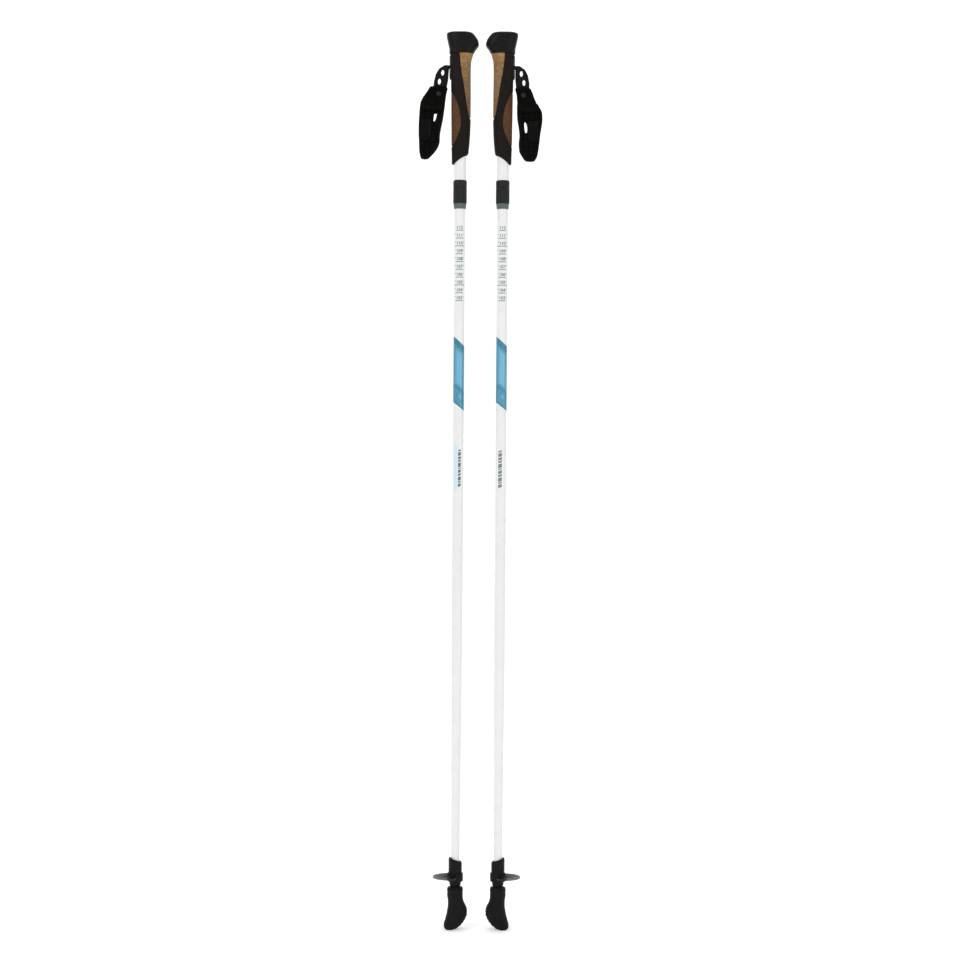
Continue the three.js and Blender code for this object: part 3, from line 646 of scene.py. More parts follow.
spike = lathe([(0, 13.5), (0.5, 13.1), (0.95, 12.6), (1.1, 12.6), (1.3, 13.3), (1.3, 23.2), (0, 23.2)], 64, crown)
washer = lathe(round_corners([(1.0, 9.9), (5.2, 9.9), (5.2, 11.3), (1.0, 11.3)], 0.2, 2), 64)

# ------------------------------------------------------------------ half basket
def blade_outline(inset, n=96):
    pts = []
    for a in np.linspace(-pi / 2, pi / 2, n):
        pts.append((4.0 + (24.8 - inset) * cos(a), (19.0 - inset) * sin(a)))
    for a in np.linspace(pi / 2, 3 * pi / 2, 40)[1:-1]:          # straight-ish back edge that wraps the hub
        pts.append((4.0 - 6.0 * abs(cos(a))**0.6 * (1 if abs(sin(a)) < 0.999 else 0) + inset * 0.2, (19.0 - inset) * sin(a)))
    return np.array(pts)


levels = []
for z, i in [(65.75, 1.0), (65.7, 0.7), (65.95, 0.25), (66.4, 0.0), (67.4, 0.0), (67.95, 0.2), (68.3, 0.7), (68.3, 1.5), (68.05, 2.0), (67.75, 2.6)]:
    o = blade_outline(i)
    levels.append(np.c_[o, np.full(len(o), z)])
blade = rings(levels)
hub = lathe(round_corners([(8.9, 62), (9.7, 62), (10.1, 62.6), (10.1, 64.4), (9.9, 64.7), (9.9, 65.1), (10.1, 65.4), (10.1, 69.6), (9.9, 69.9), (9.9, 70.3), (10.1, 70.6), (10.1, 71.6), (9.6, 72.4), (8.9, 72.4)], 0.25, 3), 96)
rib_parts = []
for a in (-62, -31, 0, 31, 62):
    t = math.radians(a)
    d, q = np.array([cos(t), sin(t)]), np.array([-sin(t), cos(t)])
    far = 1.0 / math.sqrt((cos(t) / 24.8)**2 + (sin(t) / 19.0)**2) - 2.2
    L = []
    for k in np.linspace(0, 1, 14):
        c = np.array([4.0 * k, 0.0]) + d * (9.6 + (far - 9.6) * k)
        hh, ww = 70.6 - 2.5 * k, 0.8 - 0.25 * k
        L.append([(*(c + q * ww), 67.2), (*(c + q * ww * 0.7), hh), (*(c - q * ww * 0.7), hh), (*(c - q * ww), 67.2)])
    rib_parts.append(rings(L))
basket = boolean(boolean(blade, rib_parts, "UNION"), [lathe([(0, 50), (10.0, 50), (10.0, 80), (0, 80)], 96)])

# ------------------------------------------------------------------ rubber pad
def pad_mesh():
    n_th = 128
    th = np.linspace(0, 2 * pi, n_th, endpoint=False)
    zs = np.concatenate([np.linspace(0, 1.6, 5, endpoint=False), np.linspace(1.6, 50.6, 120, endpoint=False), np.linspace(50.6, 54, 12)])
    T = table(PAD_ROWS, zs)
    L = []
    for z, (x0, x1, w, k) in zip(zs, T):
        x, y = oval_ring(x0, x1, w, k, th)
        c = (x0 + x1) / 2
        # moulded ring at the mouth
        lip = 0.35 * float(step(46.2, 46.9, z) * (1 - step(48.2, 48.9, z)))
        r = np.hypot(x - c, y)
        x, y = x - (x - c) / r * lip, y - y / r * lip
        # tread: grooves across the sole, which is the side that faces inwards and down
        face = np.clip(-np.cos(th) * 1.25 - 0.12, 0, 1)
        sole = step(0.0, 0.45, face) * (1 - step(24.5, 28.5, z)) * step(-1, 0.6, z)
        phase = (z * 0.92 - 0.16 * x) / 4.3
        tri = np.abs((phase % 1.0) - 0.5) * 2
        g = step(0.62, 0.82, tri)
        side_groove = 0.75 * sole * g
        x = x - side_groove * np.cos(th)
        y = y - side_groove * 0.35 * np.sin(th)
        L.append(np.c_[x, y, np.full(n_th, z)])
    V, F = rings(L)
    # heel and toe studs would be hidden: a flat sole patch stays at z = 0
    bore = lathe([(0, 9.6), (5.6, 9.6), (5.6, 24), (6.2, 38), (6.85, 53), (7.3, 54.4), (7.3, 58), (0, 58)], 96)
    return boolean((V, F), [bore])


pad = pad_mesh()

# ------------------------------------------------------------------ handle
TH = np.linspace(0, 2 * pi, 160, endpoint=False)


def grip_section(z, th, inset=0.0):
    x0, x1, w, k = table(GRIP_ROWS, z)[0]
    x, y = oval_ring(x0 + inset, x1 - inset, w - inset, k, th)
    return x, y, (x0, x1, w, k)


def spine(x, y, z):
    """The clip housing that stands out at the back of the handle's upper end."""
    s = float(step(1085.5, 1092.5, z)) * (1 - 0.25 * float(step(1119.5, 1124, z)))
    reach = 14.55 * (1 - step(5.4, 8.6, np.abs(y))) * s
    return np.where((x > 0) & (reach > x), reach, x)


def grip_mesh():
    L = []
    x_b, y_b, _ = grip_section(980, TH)
    zb = SLANT(x_b)
    ss = np.concatenate([[0, 0.004, 0.009, 0.015, 0.022], np.linspace(0.03, 1, 170)])
    for s in ss:
        z = zb + (1123.0 - zb) * s
        x, y = np.empty(len(TH)), np.empty(len(TH))
        rows = table(GRIP_ROWS, z)
        x0, x1, w, k = rows.T
        x, y = oval_ring(x0, x1, w, k, TH)
        d = z - zb
        R = 2.2
        roll = np.where(d < R, R - np.sqrt(np.maximum(0, R * R - (R - d)**2)), 0)
        topd = 1123.0 - z
        roll = roll + np.where(topd < 0.6, 0.6 - np.sqrt(np.maximum(0, 0.36 - (0.6 - topd)**2)), 0) * 0.8
        fb = table(CORK_FRONT, z)[:, 0]
        rb = table(CORK_REAR, z)[:, 0]
        front = step(-0.1, 0.35, fb - x) * step(1038.5, 1040.5, z)
        rear = step(-0.1, 0.35, x - rb) * step(1003.0, 1004.5, z) * (1 - step(1072.5, 1074, z))
        inset = roll + 1.15 * np.clip(front + rear, 0, 1)
        # a shallow lip raised along each inlay
        lip = 0.16 * (np.exp(-((fb - x + 0.5) / 0.55)**2) * step(1040, 1046, z) + np.exp(-((x - rb + 0.5) / 0.55)**2) * step(1004, 1010, z) * (1 - step(1066, 1072, z)))
        c = (x0 + x1) / 2
        r = np.hypot(x - c, y)
        x, y = x - (x - c) / r * (inset - lip), y - y / r * (inset - lip)
        x = np.array([float(spine(xi, yi, zi)) for xi, yi, zi in zip(x, y, z)])
        L.append(np.c_[x, y, z])
    m = len(TH)
    bore = 8.3
    inner = []
    for z in (1123.0, 1110.0, 1060.0, 1010.0):
        inner.append(np.c_[bore * np.cos(TH), bore * np.sin(TH), np.full(m, z)])
    inner.append(np.c_[bore * np.cos(TH), bore * np.sin(TH), SLANT(bore * np.cos(TH))])
    V, F = rings(L + inner, loop=True)
    slot = block(9.1, 18, -1.9, 1.9, 1103.9, 1120)
    pocket = lathe([(0, -4.8), (1.9, -4.8), (1.9, 4.8), (0, 4.8)], 40, axis="y", centre=PIVOT)
    mouth = block(PIVOT[0], 18, -4.8, 4.8, 1104.6, 1108.4)
    chan = block(12.2, 13.8, -5.9, 5.9, 1095.8, 1130)
    return boolean((V, F), [slot, pocket, mouth, chan])


def inlay(lo, hi, bound, through, thick=1.5, rows=150, cols=64, end=0.10):
    """A cork inlay: the handle's own surface between two angles, rolled off along its edge."""
    zs = np.linspace(lo, hi, rows)
    T = table(GRIP_ROWS, zs)
    half = []
    for z, (x0, x1, w, k) in zip(zs, T):
        b = table(bound, z)[0, 0] + (-0.22 if through == pi else 0.22)
        a = angle_at(b, x0, x1, k)
        half.append((pi - a) if through == pi else a)
    half = np.array(half)
    outer, inner = [], []
    u = np.linspace(-1, 1, cols)
    u = np.sign(u) * (1 - (1 - np.abs(u))**1.25)
    for z, (x0, x1, w, k), h in zip(zs, T, half):
        th = through + u * max(h, end * 0.2)
        def at(inset):
            x, y = oval_ring(x0 + inset, x1 - inset, w - inset, k, th)
            return x, y
        x, y = at(0.12)
        # distance to the border, along the surface and along the height
        mid = (x0 + x1) / 2
        r = np.hypot(x - mid, y)
        d = (1 - np.abs(u)) * max(h, 1e-3) * np.mean(r)
        dz = min(z - lo, hi - z)
        roll = 0.55 * (1 - step(0, 1.1, d)) + 0.5 * (1 - float(step(0, 1.2, dz)))
        xo, yo = x - (x - mid) / r * roll, y - y / r * roll
        xi, yi = at(thick)
        outer.append(np.c_[xo, yo, np.full(cols, z)])
        inner.append(np.c_[xi, yi, np.full(cols, z)])
    m = rows
    V = np.vstack([np.vstack(outer), np.vstack(inner)])
    idx = lambda s, i, j: s * m * cols + i * cols + j
    F = []
    for i in range(m - 1):
        for j in range(cols - 1):
            F.append((idx(0, i, j), idx(0, i + 1, j), idx(0, i + 1, j + 1), idx(0, i, j + 1)))
            F.append((idx(1, i, j), idx(1, i, j + 1), idx(1, i + 1, j + 1), idx(1, i + 1, j)))
        for j in (0, cols - 1):
            F.append((idx(0, i, j), idx(0, i + 1, j), idx(1, i + 1, j), idx(1, i, j)))
    for j in range(cols - 1):
        for i in (0, m - 1):
            F.append((idx(0, i, j), idx(1, i, j), idx(1, i, j + 1), idx(0, i, j + 1)))
    return V, F


grip = grip_mesh()
cork_front = inlay(1041.5, 1122.6, CORK_FRONT, pi)
cork_rear = inlay(1004.8, 1072.4, CORK_REAR, 0.0)


def head_mesh():
    n_th = 160
    th = np.linspace(0, 2 * pi, n_th, endpoint=False)
    zs = np.concatenate([[1123.3, 1123.45, 1123.75], np.linspace(1124.2, 1149.0, 60), [1149.4, 1149.7, 1149.9, 1150.0]])
    T = table(HEAD_ROWS, zs)
    L = []
    for z, (x0, x1, w, k) in zip(zs, T):
        low = 0.5 * (1 - float(step(1123.3, 1124.2, z)))
        top = 1.1 * float(step(1148.9, 1150.0, z))**2
        i = low + top
        x, y = oval_ring(x0 + i, x1 - i, w - i, k, th)
        # plain oval dish on each flank
        e = ((x + 0.5) / 6.2)**2 + ((z - 1137.2) / 3.1)**2
        y = y - np.sign(y) * 0.55 * (1 - step(0.72, 1.0, e)) + np.sign(y) * 0.18 * np.exp(-((np.sqrt(e) - 1.08) / 0.09)**2)
        # groove that parts the cap from its lower collar at the back and the sides
        g = 0.28 * math.exp(-((z - 1127.6) / 0.42)**2)
        c = (x0 + x1) / 2
        r = np.hypot(x - c, y)
        x, y = x - (x - c) / r * g, y - y / r * g
        L.append(np.c_[x, y, np.full(n_th, z)])
    body = rings(L)
    rr = lambda x0, x1, w, r: round_corners([(x0, -w), (x1, -w), (x1, w), (x0, w)], r, 6)
    mouth = prism(rr(-9.75, 3.75, 4.75, 3.6), 14.0, 0, (), "xy", 1150.0)
    flare = prism(rr(-10.2, 4.2, 5.2, 4.0), 0.9, 0, (), "xy", 1150.1)
    chamber = prism(rr(-11.0, 13.9, 6.2, 1.0), 17.5, 0, (), "xy", 1136.75)
    chan = block(12.2, 13.8, -5.9, 5.9, 1119, 1129)
    seat = lathe([(0, 1119), (8.3, 1119), (8.3, 1124.3), (1.9, 1124.3), (1.9, 1129), (0, 1129)], 64)
    return boolean(body, [mouth, flare, chamber, chan, seat])


head = head_mesh()


def button_mesh():
    # thumb pad with a rolled top, three low grip bars, a stop flange and two notched prongs
    n_th = 96
    th = np.linspace(0, 2 * pi, n_th, endpoint=False)
    L = []
    for z, i in [(1144.6, 0), (1150.4, 0), (1150.9, 0.08), (1151.3, 0.25), (1151.6, 0.55), (1151.8, 1.0), (1151.85, 1.8)]:
        x, y = oval_ring(-9.4 + i, 3.4 - i, 4.4 - i, 3.4, th)
        L.append(np.c_[x, y, np.full(n_th, z)])
    for f in (0.75, 0.5, 0.25):
        x, y = oval_ring(-3.0 - 4.6 * f, -3.0 + 4.6 * f, 2.6 * f, 2.4, th)
        L.append(np.c_[x, y, np.full(n_th, 1151.55 + 0.3 * f * f)])
    top = rings(L)
    bars = [block(x - 0.35, x + 0.35, -2.3, 2.3, 1151.2, 1152.0, 0.15) for x in (-5.4, -3.0, -0.6)]
    flange = block(-10.4, 13.5, -5.6, 5.6, 1142.4, 1145.2, 0.3)
    prongs = [block(12.5, 13.5, 2.2, 5.6, 1101.6, 1144.5, 0.2), block(12.5, 13.5, -5.6, -2.2, 1101.6, 1144.5, 0.2)]
    V, F = boolean(top, [flange, *prongs, *bars], "UNION")
    return boolean((V, F), [block(11, 15, 2.0, 4.7, 1108.2, 1113.2), block(11, 15, -4.7, -2.0, 1108.2, 1113.2)])


button = button_mesh()

# return spring: a round wire coil under the button's flange, built at its unpressed length
SPRING_Z0, SPRING_Z1, SPRING_R, WIRE_R, PRESSED_TOP = 1128.75, 1141.6, 4.3, 0.45, 1137.25
turn = np.linspace(0, 1, 3 * 36 + 18 + 1)
coil_a = turn * 3.5 * 2 * pi
spring = tube_along(np.c_[SPRING_R * np.cos(coil_a), SPRING_R * np.sin(coil_a), SPRING_Z0 + turn * (SPRING_Z1 - SPRING_Z0)], WIRE_R, 10)

# ------------------------------------------------------------------ strap
def oval_pts(cx, cz, a, b, n=28):
    return [(cx + a * cos(-2 * pi * i / n), cz + b * sin(-2 * pi * i / n)) for i in range(n)]


def smooth_closed(pts, n):
    """A closed outline through points, as a smooth curve."""
    P = np.array(pts, float)
    m = len(P)
    out = []
    per = max(2, n // m)
    for i in range(m):
        p0, p1, p2, p3 = P[i - 1], P[i], P[(i + 1) % m], P[(i + 2) % m]
        for j in range(per):
            t = j / per
            out.append(0.5 * ((2 * p1) + (-p0 + p2) * t + (2 * p0 - 5 * p1 + 4 * p2 - p3) * t * t + (-p0 + 3 * p1 - 3 * p2 + p3) * t**3))
    return [tuple(p) for p in out]


clip_plate = prism(round_corners(CLIP, 5.0, 5), 3.2, 0.5,
                   [oval_pts(22.8, 1098.2, 1.9, 3.7), oval_pts(26.2, 1086.6, 1.9, 3.8), oval_pts(25.6, 1070, 1.8, 1.8)], "xz", 0.0, 3)
tbar = lathe(round_corners([(0, -4.4), (1.6, -4.4), (1.6, 4.4), (0, 4.4)], 0.35, 3, closed=False), 40, axis="y", centre=PIVOT)
# raised rails beside the eyes
rails = []
for y in (-1.6, 1.6):
    path = [(17.4, y, 1102.6), (18.6, y, 1092), (20.2, y, 1081), (22.2, y, 1074)]
    rails.append(tube_along(path, 0.5, 10))
    path = [(24.6, y, 1104.0), (28.6, y, 1098.5), (30.8, y, 1089), (31.2, y, 1077)]
    rails.append(tube_along(path, 0.5, 10))
clip = boolean(clip_plate, [tbar, *rails], "UNION")
rivet_profile = [(0, -5.25), (1.9, -5.25), (2.8, -5.0), (3.2, -4.6), (3.2, -4.25), (1.5, -4.2), (1.5, 4.2), (3.2, 4.25), (3.2, 4.6), (2.8, 5.0), (1.9, 5.25), (0.9, 4.8), (0, 4.75)]
rivet = lathe(round_corners(rivet_profile, 0.12, 2, closed=False), 48, axis="y", centre=(25.6, 1070))

PALM_L = {"right": [[1045.5, 18.2], [1047, 18.2], [1062, 17.9], [1072, 17.0], [1079.5, 14.9], [1081, 14.6]],
          "left": [[1045.5, 18.0], [1047, 18.0], [1062, 16.9], [1072, 16.2], [1079.5, 14.9], [1081, 14.6]]}
PALM_R = {"right": [[1045.5, 47.6], [1047, 47.2], [1056, 43.6], [1064, 40.6], [1073, 37.4], [1080, 34.2], [1081, 33.6]],
          "left": [[1045.5, 48.2], [1047, 48.2], [1057, 48.0], [1065, 45.2], [1073, 40.4], [1080, 36.8], [1081, 36.2]]}
PALM_Y = [[1043, 11.0], [1046, 10.9], [1050, 10.5], [1056, 8.25], [1061.2, 6.0], [1064, 3.9], [1066, 3.05], [1070, 2.95], [1083, 2.95]]


def palm(side, side_y):
    m, nn = 46, 30
    P, N, T = np.zeros((m, nn, 3)), np.zeros((m, nn, 3)), np.zeros((m, nn))
    for i in range(m):
        v = i / (m - 1)
        for j in range(nn):
            u = j / (nn - 1)
            top = 1080.4 - 1.6 * (2 * u - 1)**2
            low = 1046.8 + 2.6 * (2 * u - 1)**2
            z = top + (low - top) * v
            xl, xr = float(np.interp(z, *np.array(PALM_L[side]).T)), float(np.interp(z, *np.array(PALM_R[side]).T))
            x = xl + (xr - xl) * u
            y = float(table(PALM_Y, z)[0, 0])
            # fabric sags in a little between the rivet and the cuff, and puckers at the rivet
            edge = min(u, 1 - u) * (xr - xl)
            dr = math.hypot(x - 25.6, z - 1070)
            y += 0.28 * float(step(0, 5, edge)) * float(step(4, 9, dr))
            y += 0.10 * sin(x * 0.9 + z * 0.35) * float(step(4, 10, dr))
            P[i, j] = (x, side_y * y, z)
            border = min(edge, (top - z), (z - low))
            T[i, j] = 1.15 + 0.75 * float(step(0.0, 1.2, border)) - 0.35 * math.exp(-((border - 2.4) / 0.45)**2)
    du = np.gradient(P, axis=1)
    dv = np.gradient(P, axis=0)
    N = np.cross(du, dv)
    N /= np.linalg.norm(N, axis=2)[..., None]
    if N[m // 2, nn // 2, 1] * side_y < 0:
        N = -N
    V, F = sheet_grid(P, N, T)
    # cut for the rivet
    hole_cut = lathe([(0, -8), (1.75, -8), (1.75, 8), (0, 8)], 32, axis="y", centre=(25.6, 1070))
    V, F = boolean((V, F), [hole_cut])
    return (V, F), P, N


def stitches(P, N, inset_pts, side_r=0.26, lift=1.0, length=1.9, gap=1.1):
    """A row of short raised stitches along a polyline of points with normals."""
    pts, nor = np.asarray(inset_pts[0], float), np.asarray(inset_pts[1], float)
    seg = np.linalg.norm(np.diff(pts, axis=0), axis=1)
    s = np.concatenate([[0], np.cumsum(seg)])
    out, at = [], 0.6
    while at + length < s[-1]:
        q = np.linspace(at, at + length, 7)
        C = np.array([[np.interp(t, s, pts[:, k]) for k in range(3)] for t in q])
        Nn = np.array([[np.interp(t, s, nor[:, k]) for k in range(3)] for t in q])
        arch = np.sin(np.linspace(0, pi, 7)) * 0.28
        C = C + Nn * (lift - 0.16 + arch)[:, None]
        out.append(tube_along(C, side_r, 6))
        at += length + gap
    return join(*out)


def palm_stitching(P, N, half_th):
    m, nn = P.shape[:2]
    j0, j1, i1, i0 = 3, nn - 4, m - 4, 3
    loops = [(P[i0:i1 + 1, j0], N[i0:i1 + 1, j0]), (P[i0:i1 + 1, j1], N[i0:i1 + 1, j1]), (P[i1, j0:j1 + 1], N[i1, j0:j1 + 1]), (P[i1 - 3, j0:j1 + 1], N[i1 - 3, j0:j1 + 1]),
             (P[i0, j0:j1 + 1], N[i0, j0:j1 + 1])]
    return join(*[stitches(P, N, lp, lift=half_th) for lp in loops])


# padded cuff: two skins sewn along their edges and round the thumb slit, blown up by a cloth simulation
CUFF_L = {"right": [[984.6, 33.4], [984.9, 32.4], [987.6, 28.8], [993.5, 24.6], [1001, 21.2], [1010, 20.6], [1020, 21.4], [1030, 20.4], [1040, 18.7], [1049, 18.0], [1058.5, 17.9]],
          "left": [[984.6, 37.6], [985.6, 36.2], [988.8, 32.6], [993.6, 28.8], [998.6, 25.2], [1004, 22.4], [1011, 20.8], [1020, 21.0], [1030, 20.0], [1040, 18.7], [1049, 17.9], [1058.5, 17.2]]}
CUFF_R = {"right": [[984.6, 35.8], [985.4, 37.8], [988.8, 41.4], [995.2, 44.2], [1006, 45.8], [1019, 47.2], [1029, 48.8], [1038, 49.8], [1047, 49.3], [1053.5, 46.3], [1058.5, 43.8]],
          "left": [[984.6, 38.4], [985.4, 39.6], [988.4, 42.8], [994.8, 44.8], [1006, 46.0], [1019, 47.4], [1029, 48.0], [1038, 48.2], [1047, 48.3], [1054, 48.1], [1058.5, 46.8]]}
SLIT = {"right": (28.6, 1029.0), "left": (30.4, 1042.0)}
CUFF_MID = [(3.9, 1058.3), (5.2, 1054.5), (7.05, 1049), (8.1, 1041), (8.5, 1034), (8.65, 1022), (8.6, 1012), (8.1, 1002.5), (7.1, 996.4), (5.3, 991.2), (2.9, 988.0), (0, 987.0)]


def cuff_mesh(side):
    sx, sz = SLIT[side]
    mid = np.array(CUFF_MID + [(-y, z) for y, z in CUFF_MID[-2::-1]])
    s = np.concatenate([[0], np.cumsum(np.linalg.norm(np.diff(mid, axis=0), axis=1))])
    m = 118
    q = np.linspace(0, s[-1], m)
    # smooth path
    Y, Z = (table(np.c_[s, mid[:, k]], q)[:, 0] for k in (0, 1))
    ty, tz = np.gradient(Y), np.gradient(Z)
    ln = np.hypot(ty, tz)
    ny, nz = -tz / ln, ty / ln           # outwards
    if ny[10] * Y[10] < 0:
        ny, nz = -ny, -nz
    base = np.concatenate([np.linspace(0, 1, 6, endpoint=False), [1.0], [1.5], [2.0], 2.0 + np.linspace(0, 1, 15)[1:]])
    nn = len(base)
    P, N, T = np.zeros((m, nn, 3)), np.zeros((m, nn, 3)), np.zeros((m, nn))
    half = []
    for i in range(m):
        z = Z[i]
        xl, xr = float(table(CUFF_L[side], z)[0, 0]), float(table(CUFF_R[side], z)[0, 0])
        w = 2.6 * math.sqrt(max(0.0, 1 - ((z - sz) / 9.4)**2))
        w = max(w, 0.45)
        c = xl + (0.33 if side == "left" else 0.30) * (xr - xl)
        for j, t in enumerate(base):
            x = xl + (c - w - xl) * t if t <= 1 else (c - w + (t - 1) * 2 * w if t <= 2 else c + w + (xr - c - w) * (t - 2))
            P[i, j] = (x, Y[i], z)
            N[i, j] = (0, ny[i], nz[i])
            edge = min(x - xl, xr - x)
            slit = abs(x - c) - w if abs(z - sz) < 10.6 else 9.0
            e = min(edge, max(0.0, slit), s[-1] * 0 + min(q[i], q[-1] - q[i]) + 0.4)
            T[i, j] = 1.5 + 1.9 * float(step(0.0, 3.2, e))
    V, F = sheet_grid(P, N, T)
    # open the thumb slit in both layers
    iL, iR = 6, 8
    count = m * nn
    cells = set()
    for i in range(m - 1):
        zc = (Z[i] + Z[i + 1]) / 2
        if abs(zc - sz) < 9.1:
            for j in range(iL, iR):
                cells.add((i, j))
    idx = lambda sd, i, j: sd * count + i * nn + j
    gone = set()
    for i, j in cells:
        gone.add(frozenset((idx(0, i, j), idx(0, i + 1, j), idx(0, i + 1, j + 1), idx(0, i, j + 1))))
        gone.add(frozenset((idx(1, i, j), idx(1, i, j + 1), idx(1, i + 1, j + 1), idx(1, i + 1, j))))
    F = [f for f in F if frozenset(f) not in gone]
    for i, j in cells:
        for a, b, other in (((i, j), (i + 1, j), (i, j - 1)), ((i, j + 1), (i + 1, j + 1), (i, j + 1)), ((i, j), (i, j + 1), (i - 1, j)), ((i + 1, j), (i + 1, j + 1), (i + 1, j))):
            if other not in cells:
                F.append((idx(0, *a), idx(0, *b), idx(1, *b), idx(1, *a)))
    V2, F2 = np.asarray(V), F
    used = sorted({k for f in F2 for k in f})
    remap = {k: n_ for n_, k in enumerate(used)}
    V2 = V2[used]
    F2 = [tuple(remap[k] for k in f) for f in F2]
    # sewn rows: both edges, the slit's border and both ends hold still
    pins = set()
    for sd in (0, 1):
        for i in range(m):
            for j in range(nn):
                k = idx(sd, i, j)
                if k not in remap:
                    continue
                near_slit = abs(Z[i] - sz) < 10.8 and iL <= j <= iR
                if j in (0, nn - 1) or i < 3 or i > m - 4 or near_slit:
                    pins.add(remap[k])
    return V2, F2, pins, (P, N, T, Z, Y, q, s[-1], iL, iR)


def puff(V, F, pins, cap, scale=4.0, pressure=4.0, frames=20):
    """Cloth simulation, on a copy at a larger scale, whose result is capped and applied to the mesh."""
    V = np.asarray(V, float)
    c = V.mean(axis=0)
    ob = temp((V - c) * 0.001 * scale, F, "sim")
    g = ob.vertex_groups.new(name="pin")
    g.add(sorted(int(p) for p in pins), 1.0, "REPLACE")
    md = ob.modifiers.new("Cloth", "CLOTH")
    st = md.settings
    st.quality, st.mass, st.air_damping = 8, 0.2, 2.0
    st.tension_stiffness = st.compression_stiffness = 12
    st.shear_stiffness, st.bending_stiffness = 5, 0.6
    st.use_pressure, st.uniform_pressure_force = True, pressure
    st.vertex_group_mass = "pin"
    st.effector_weights.gravity = 0
    md.collision_settings.use_collision = False
    sc = bpy.context.scene
    for f in range(1, frames + 1):
        sc.frame_set(f)
    W, _ = evaluated(ob)
    drop(ob)
    sc.frame_set(1)
    d = (W * 1000.0 / scale + c) - V
    ln = np.linalg.norm(d, axis=1)
    k = np.where(ln > 1e-9, np.minimum(ln, cap * np.tanh(ln / cap)) / np.maximum(ln, 1e-9), 0)
    print("cloth: largest move", round(float(ln.max()), 3), "mm, kept", round(float((ln * k).max()), 3))
    return V + d * k[:, None]


def binding(path, N_, r_y=1.25, r_x=0.9):
    """A folded tape over an edge: an oval tube."""
    path = np.asarray(path, float)
    t = np.gradient(path, axis=0)
    t /= np.linalg.norm(t, axis=1)[:, None]
    L = []
    a = np.linspace(0, 2 * pi, 14, endpoint=False)
    for p, tt, nn_ in zip(path, t, N_):
        b = np.cross(tt, nn_)
        b /= np.linalg.norm(b)
        L.append(p + np.cos(a)[:, None] * nn_ * r_y + np.sin(a)[:, None] * b * r_x)
    return rings(L)


def strap_parts(side):
    """Palm strap layers, padded cuff and everything sewn to them."""
    out = {}
    out["palm_back"], PB, NB = palm(side, 1)
    out["palm_front"], PF, NF = palm(side, -1)
    out["palm_thread"] = join(palm_stitching(PB, NB, 0.95), palm_stitching(PF, NF, 0.95))
    CV, CF, pins, (P, N, T, Z, Y, q, slen, iL, iR) = cuff_mesh(side)
    out["cuff"] = (puff(CV, CF, pins, 0.9), CF)
    bind = join(binding(P[:, 0] + [0.55, 0, 0], N[:, 0]), binding(P[:, -1] - [0.55, 0, 0], N[:, -1]))
    rows_in = [i for i in range(len(Z)) if abs(Z[i] - SLIT[side][1]) < 9.8]
    groups, cur = [], [rows_in[0]]
    for a_, b_ in zip(rows_in, rows_in[1:]):
        if b_ == a_ + 1:
            cur.append(b_)
        else:
            groups.append(cur)
            cur = [b_]
    groups.append(cur)
    slit_rings = []
    for g in groups:
        loop = np.array([P[i, iL] for i in g] + [P[i, iR] for i in reversed(g)])
        nor = np.array([N[i, iL] for i in g] + [N[i, iR] for i in reversed(g)])
        L = []
        tt = np.roll(loop, -1, 0) - np.roll(loop, 1, 0)
        tt /= np.linalg.norm(tt, axis=1)[:, None]
        a = np.linspace(0, 2 * pi, 12, endpoint=False)
        for p, t_, n_ in zip(loop, tt, nor):
            b = np.cross(t_, n_)
            L.append(p + np.cos(a)[:, None] * n_ * 1.15 + np.sin(a)[:, None] * b * 0.55)
        slit_rings.append(rings(L, loop=True))
    out["binding"] = join(bind, *slit_rings)
    out["cuff_thread"] = join(*[stitches(None, None, (P[3:-3, j], N[3:-3, j]), lift=float(np.mean(T[3:-3, j])) / 2 + 0.12, side_r=0.24)
                                for j in (1, len(P[0]) - 2)])
    return out


def tab_mesh():
    """Hook-and-loop tab, lying on the cuff's front layer."""
    m, nn = 30, 18
    G, NN, TT = np.zeros((m, nn, 3)), np.zeros((m, nn, 3)), np.zeros((m, nn))
    for i in range(m):
        v = i / (m - 1)
        for j in range(nn):
            u = j / (nn - 1)
            low = 1009.3 + 3.6 * abs(2 * u - 1)**2.4
            z = 1035.6 + (low - 1035.6) * v
            x = 31.9 + 13.2 * u
            y = -(11.35 + 0.25 * (1 - (2 * u - 1)**2) + 0.1 * (z - 1022)**2 / 180)
            G[i, j] = (x, y, z)
            NN[i, j] = (0, -1, 0)
            e = min(x - 31.9, 45.1 - x, 1035.6 - z + 0.01, z - low + 0.01)
            TT[i, j] = 0.9 + 0.75 * float(step(0, 0.9, e)) - 0.3 * math.exp(-((e - 1.9) / 0.35)**2)
    V, F = sheet_grid(G, NN, TT)
    st = join(*[stitches(None, None, lp, lift=0.8, side_r=0.22, length=1.5, gap=0.9) for lp in
                ((G[3:-3, 2], NN[3:-3, 2]), (G[3:-3, -3], NN[3:-3, -3]), (G[2, 2:-2], NN[2, 2:-2]), (G[5, 2:-2], NN[5, 2:-2]))])
    return (V, F), st


tab, tab_thread = tab_mesh()
sewn_parts = {side: strap_parts(side) for side in SIDES}


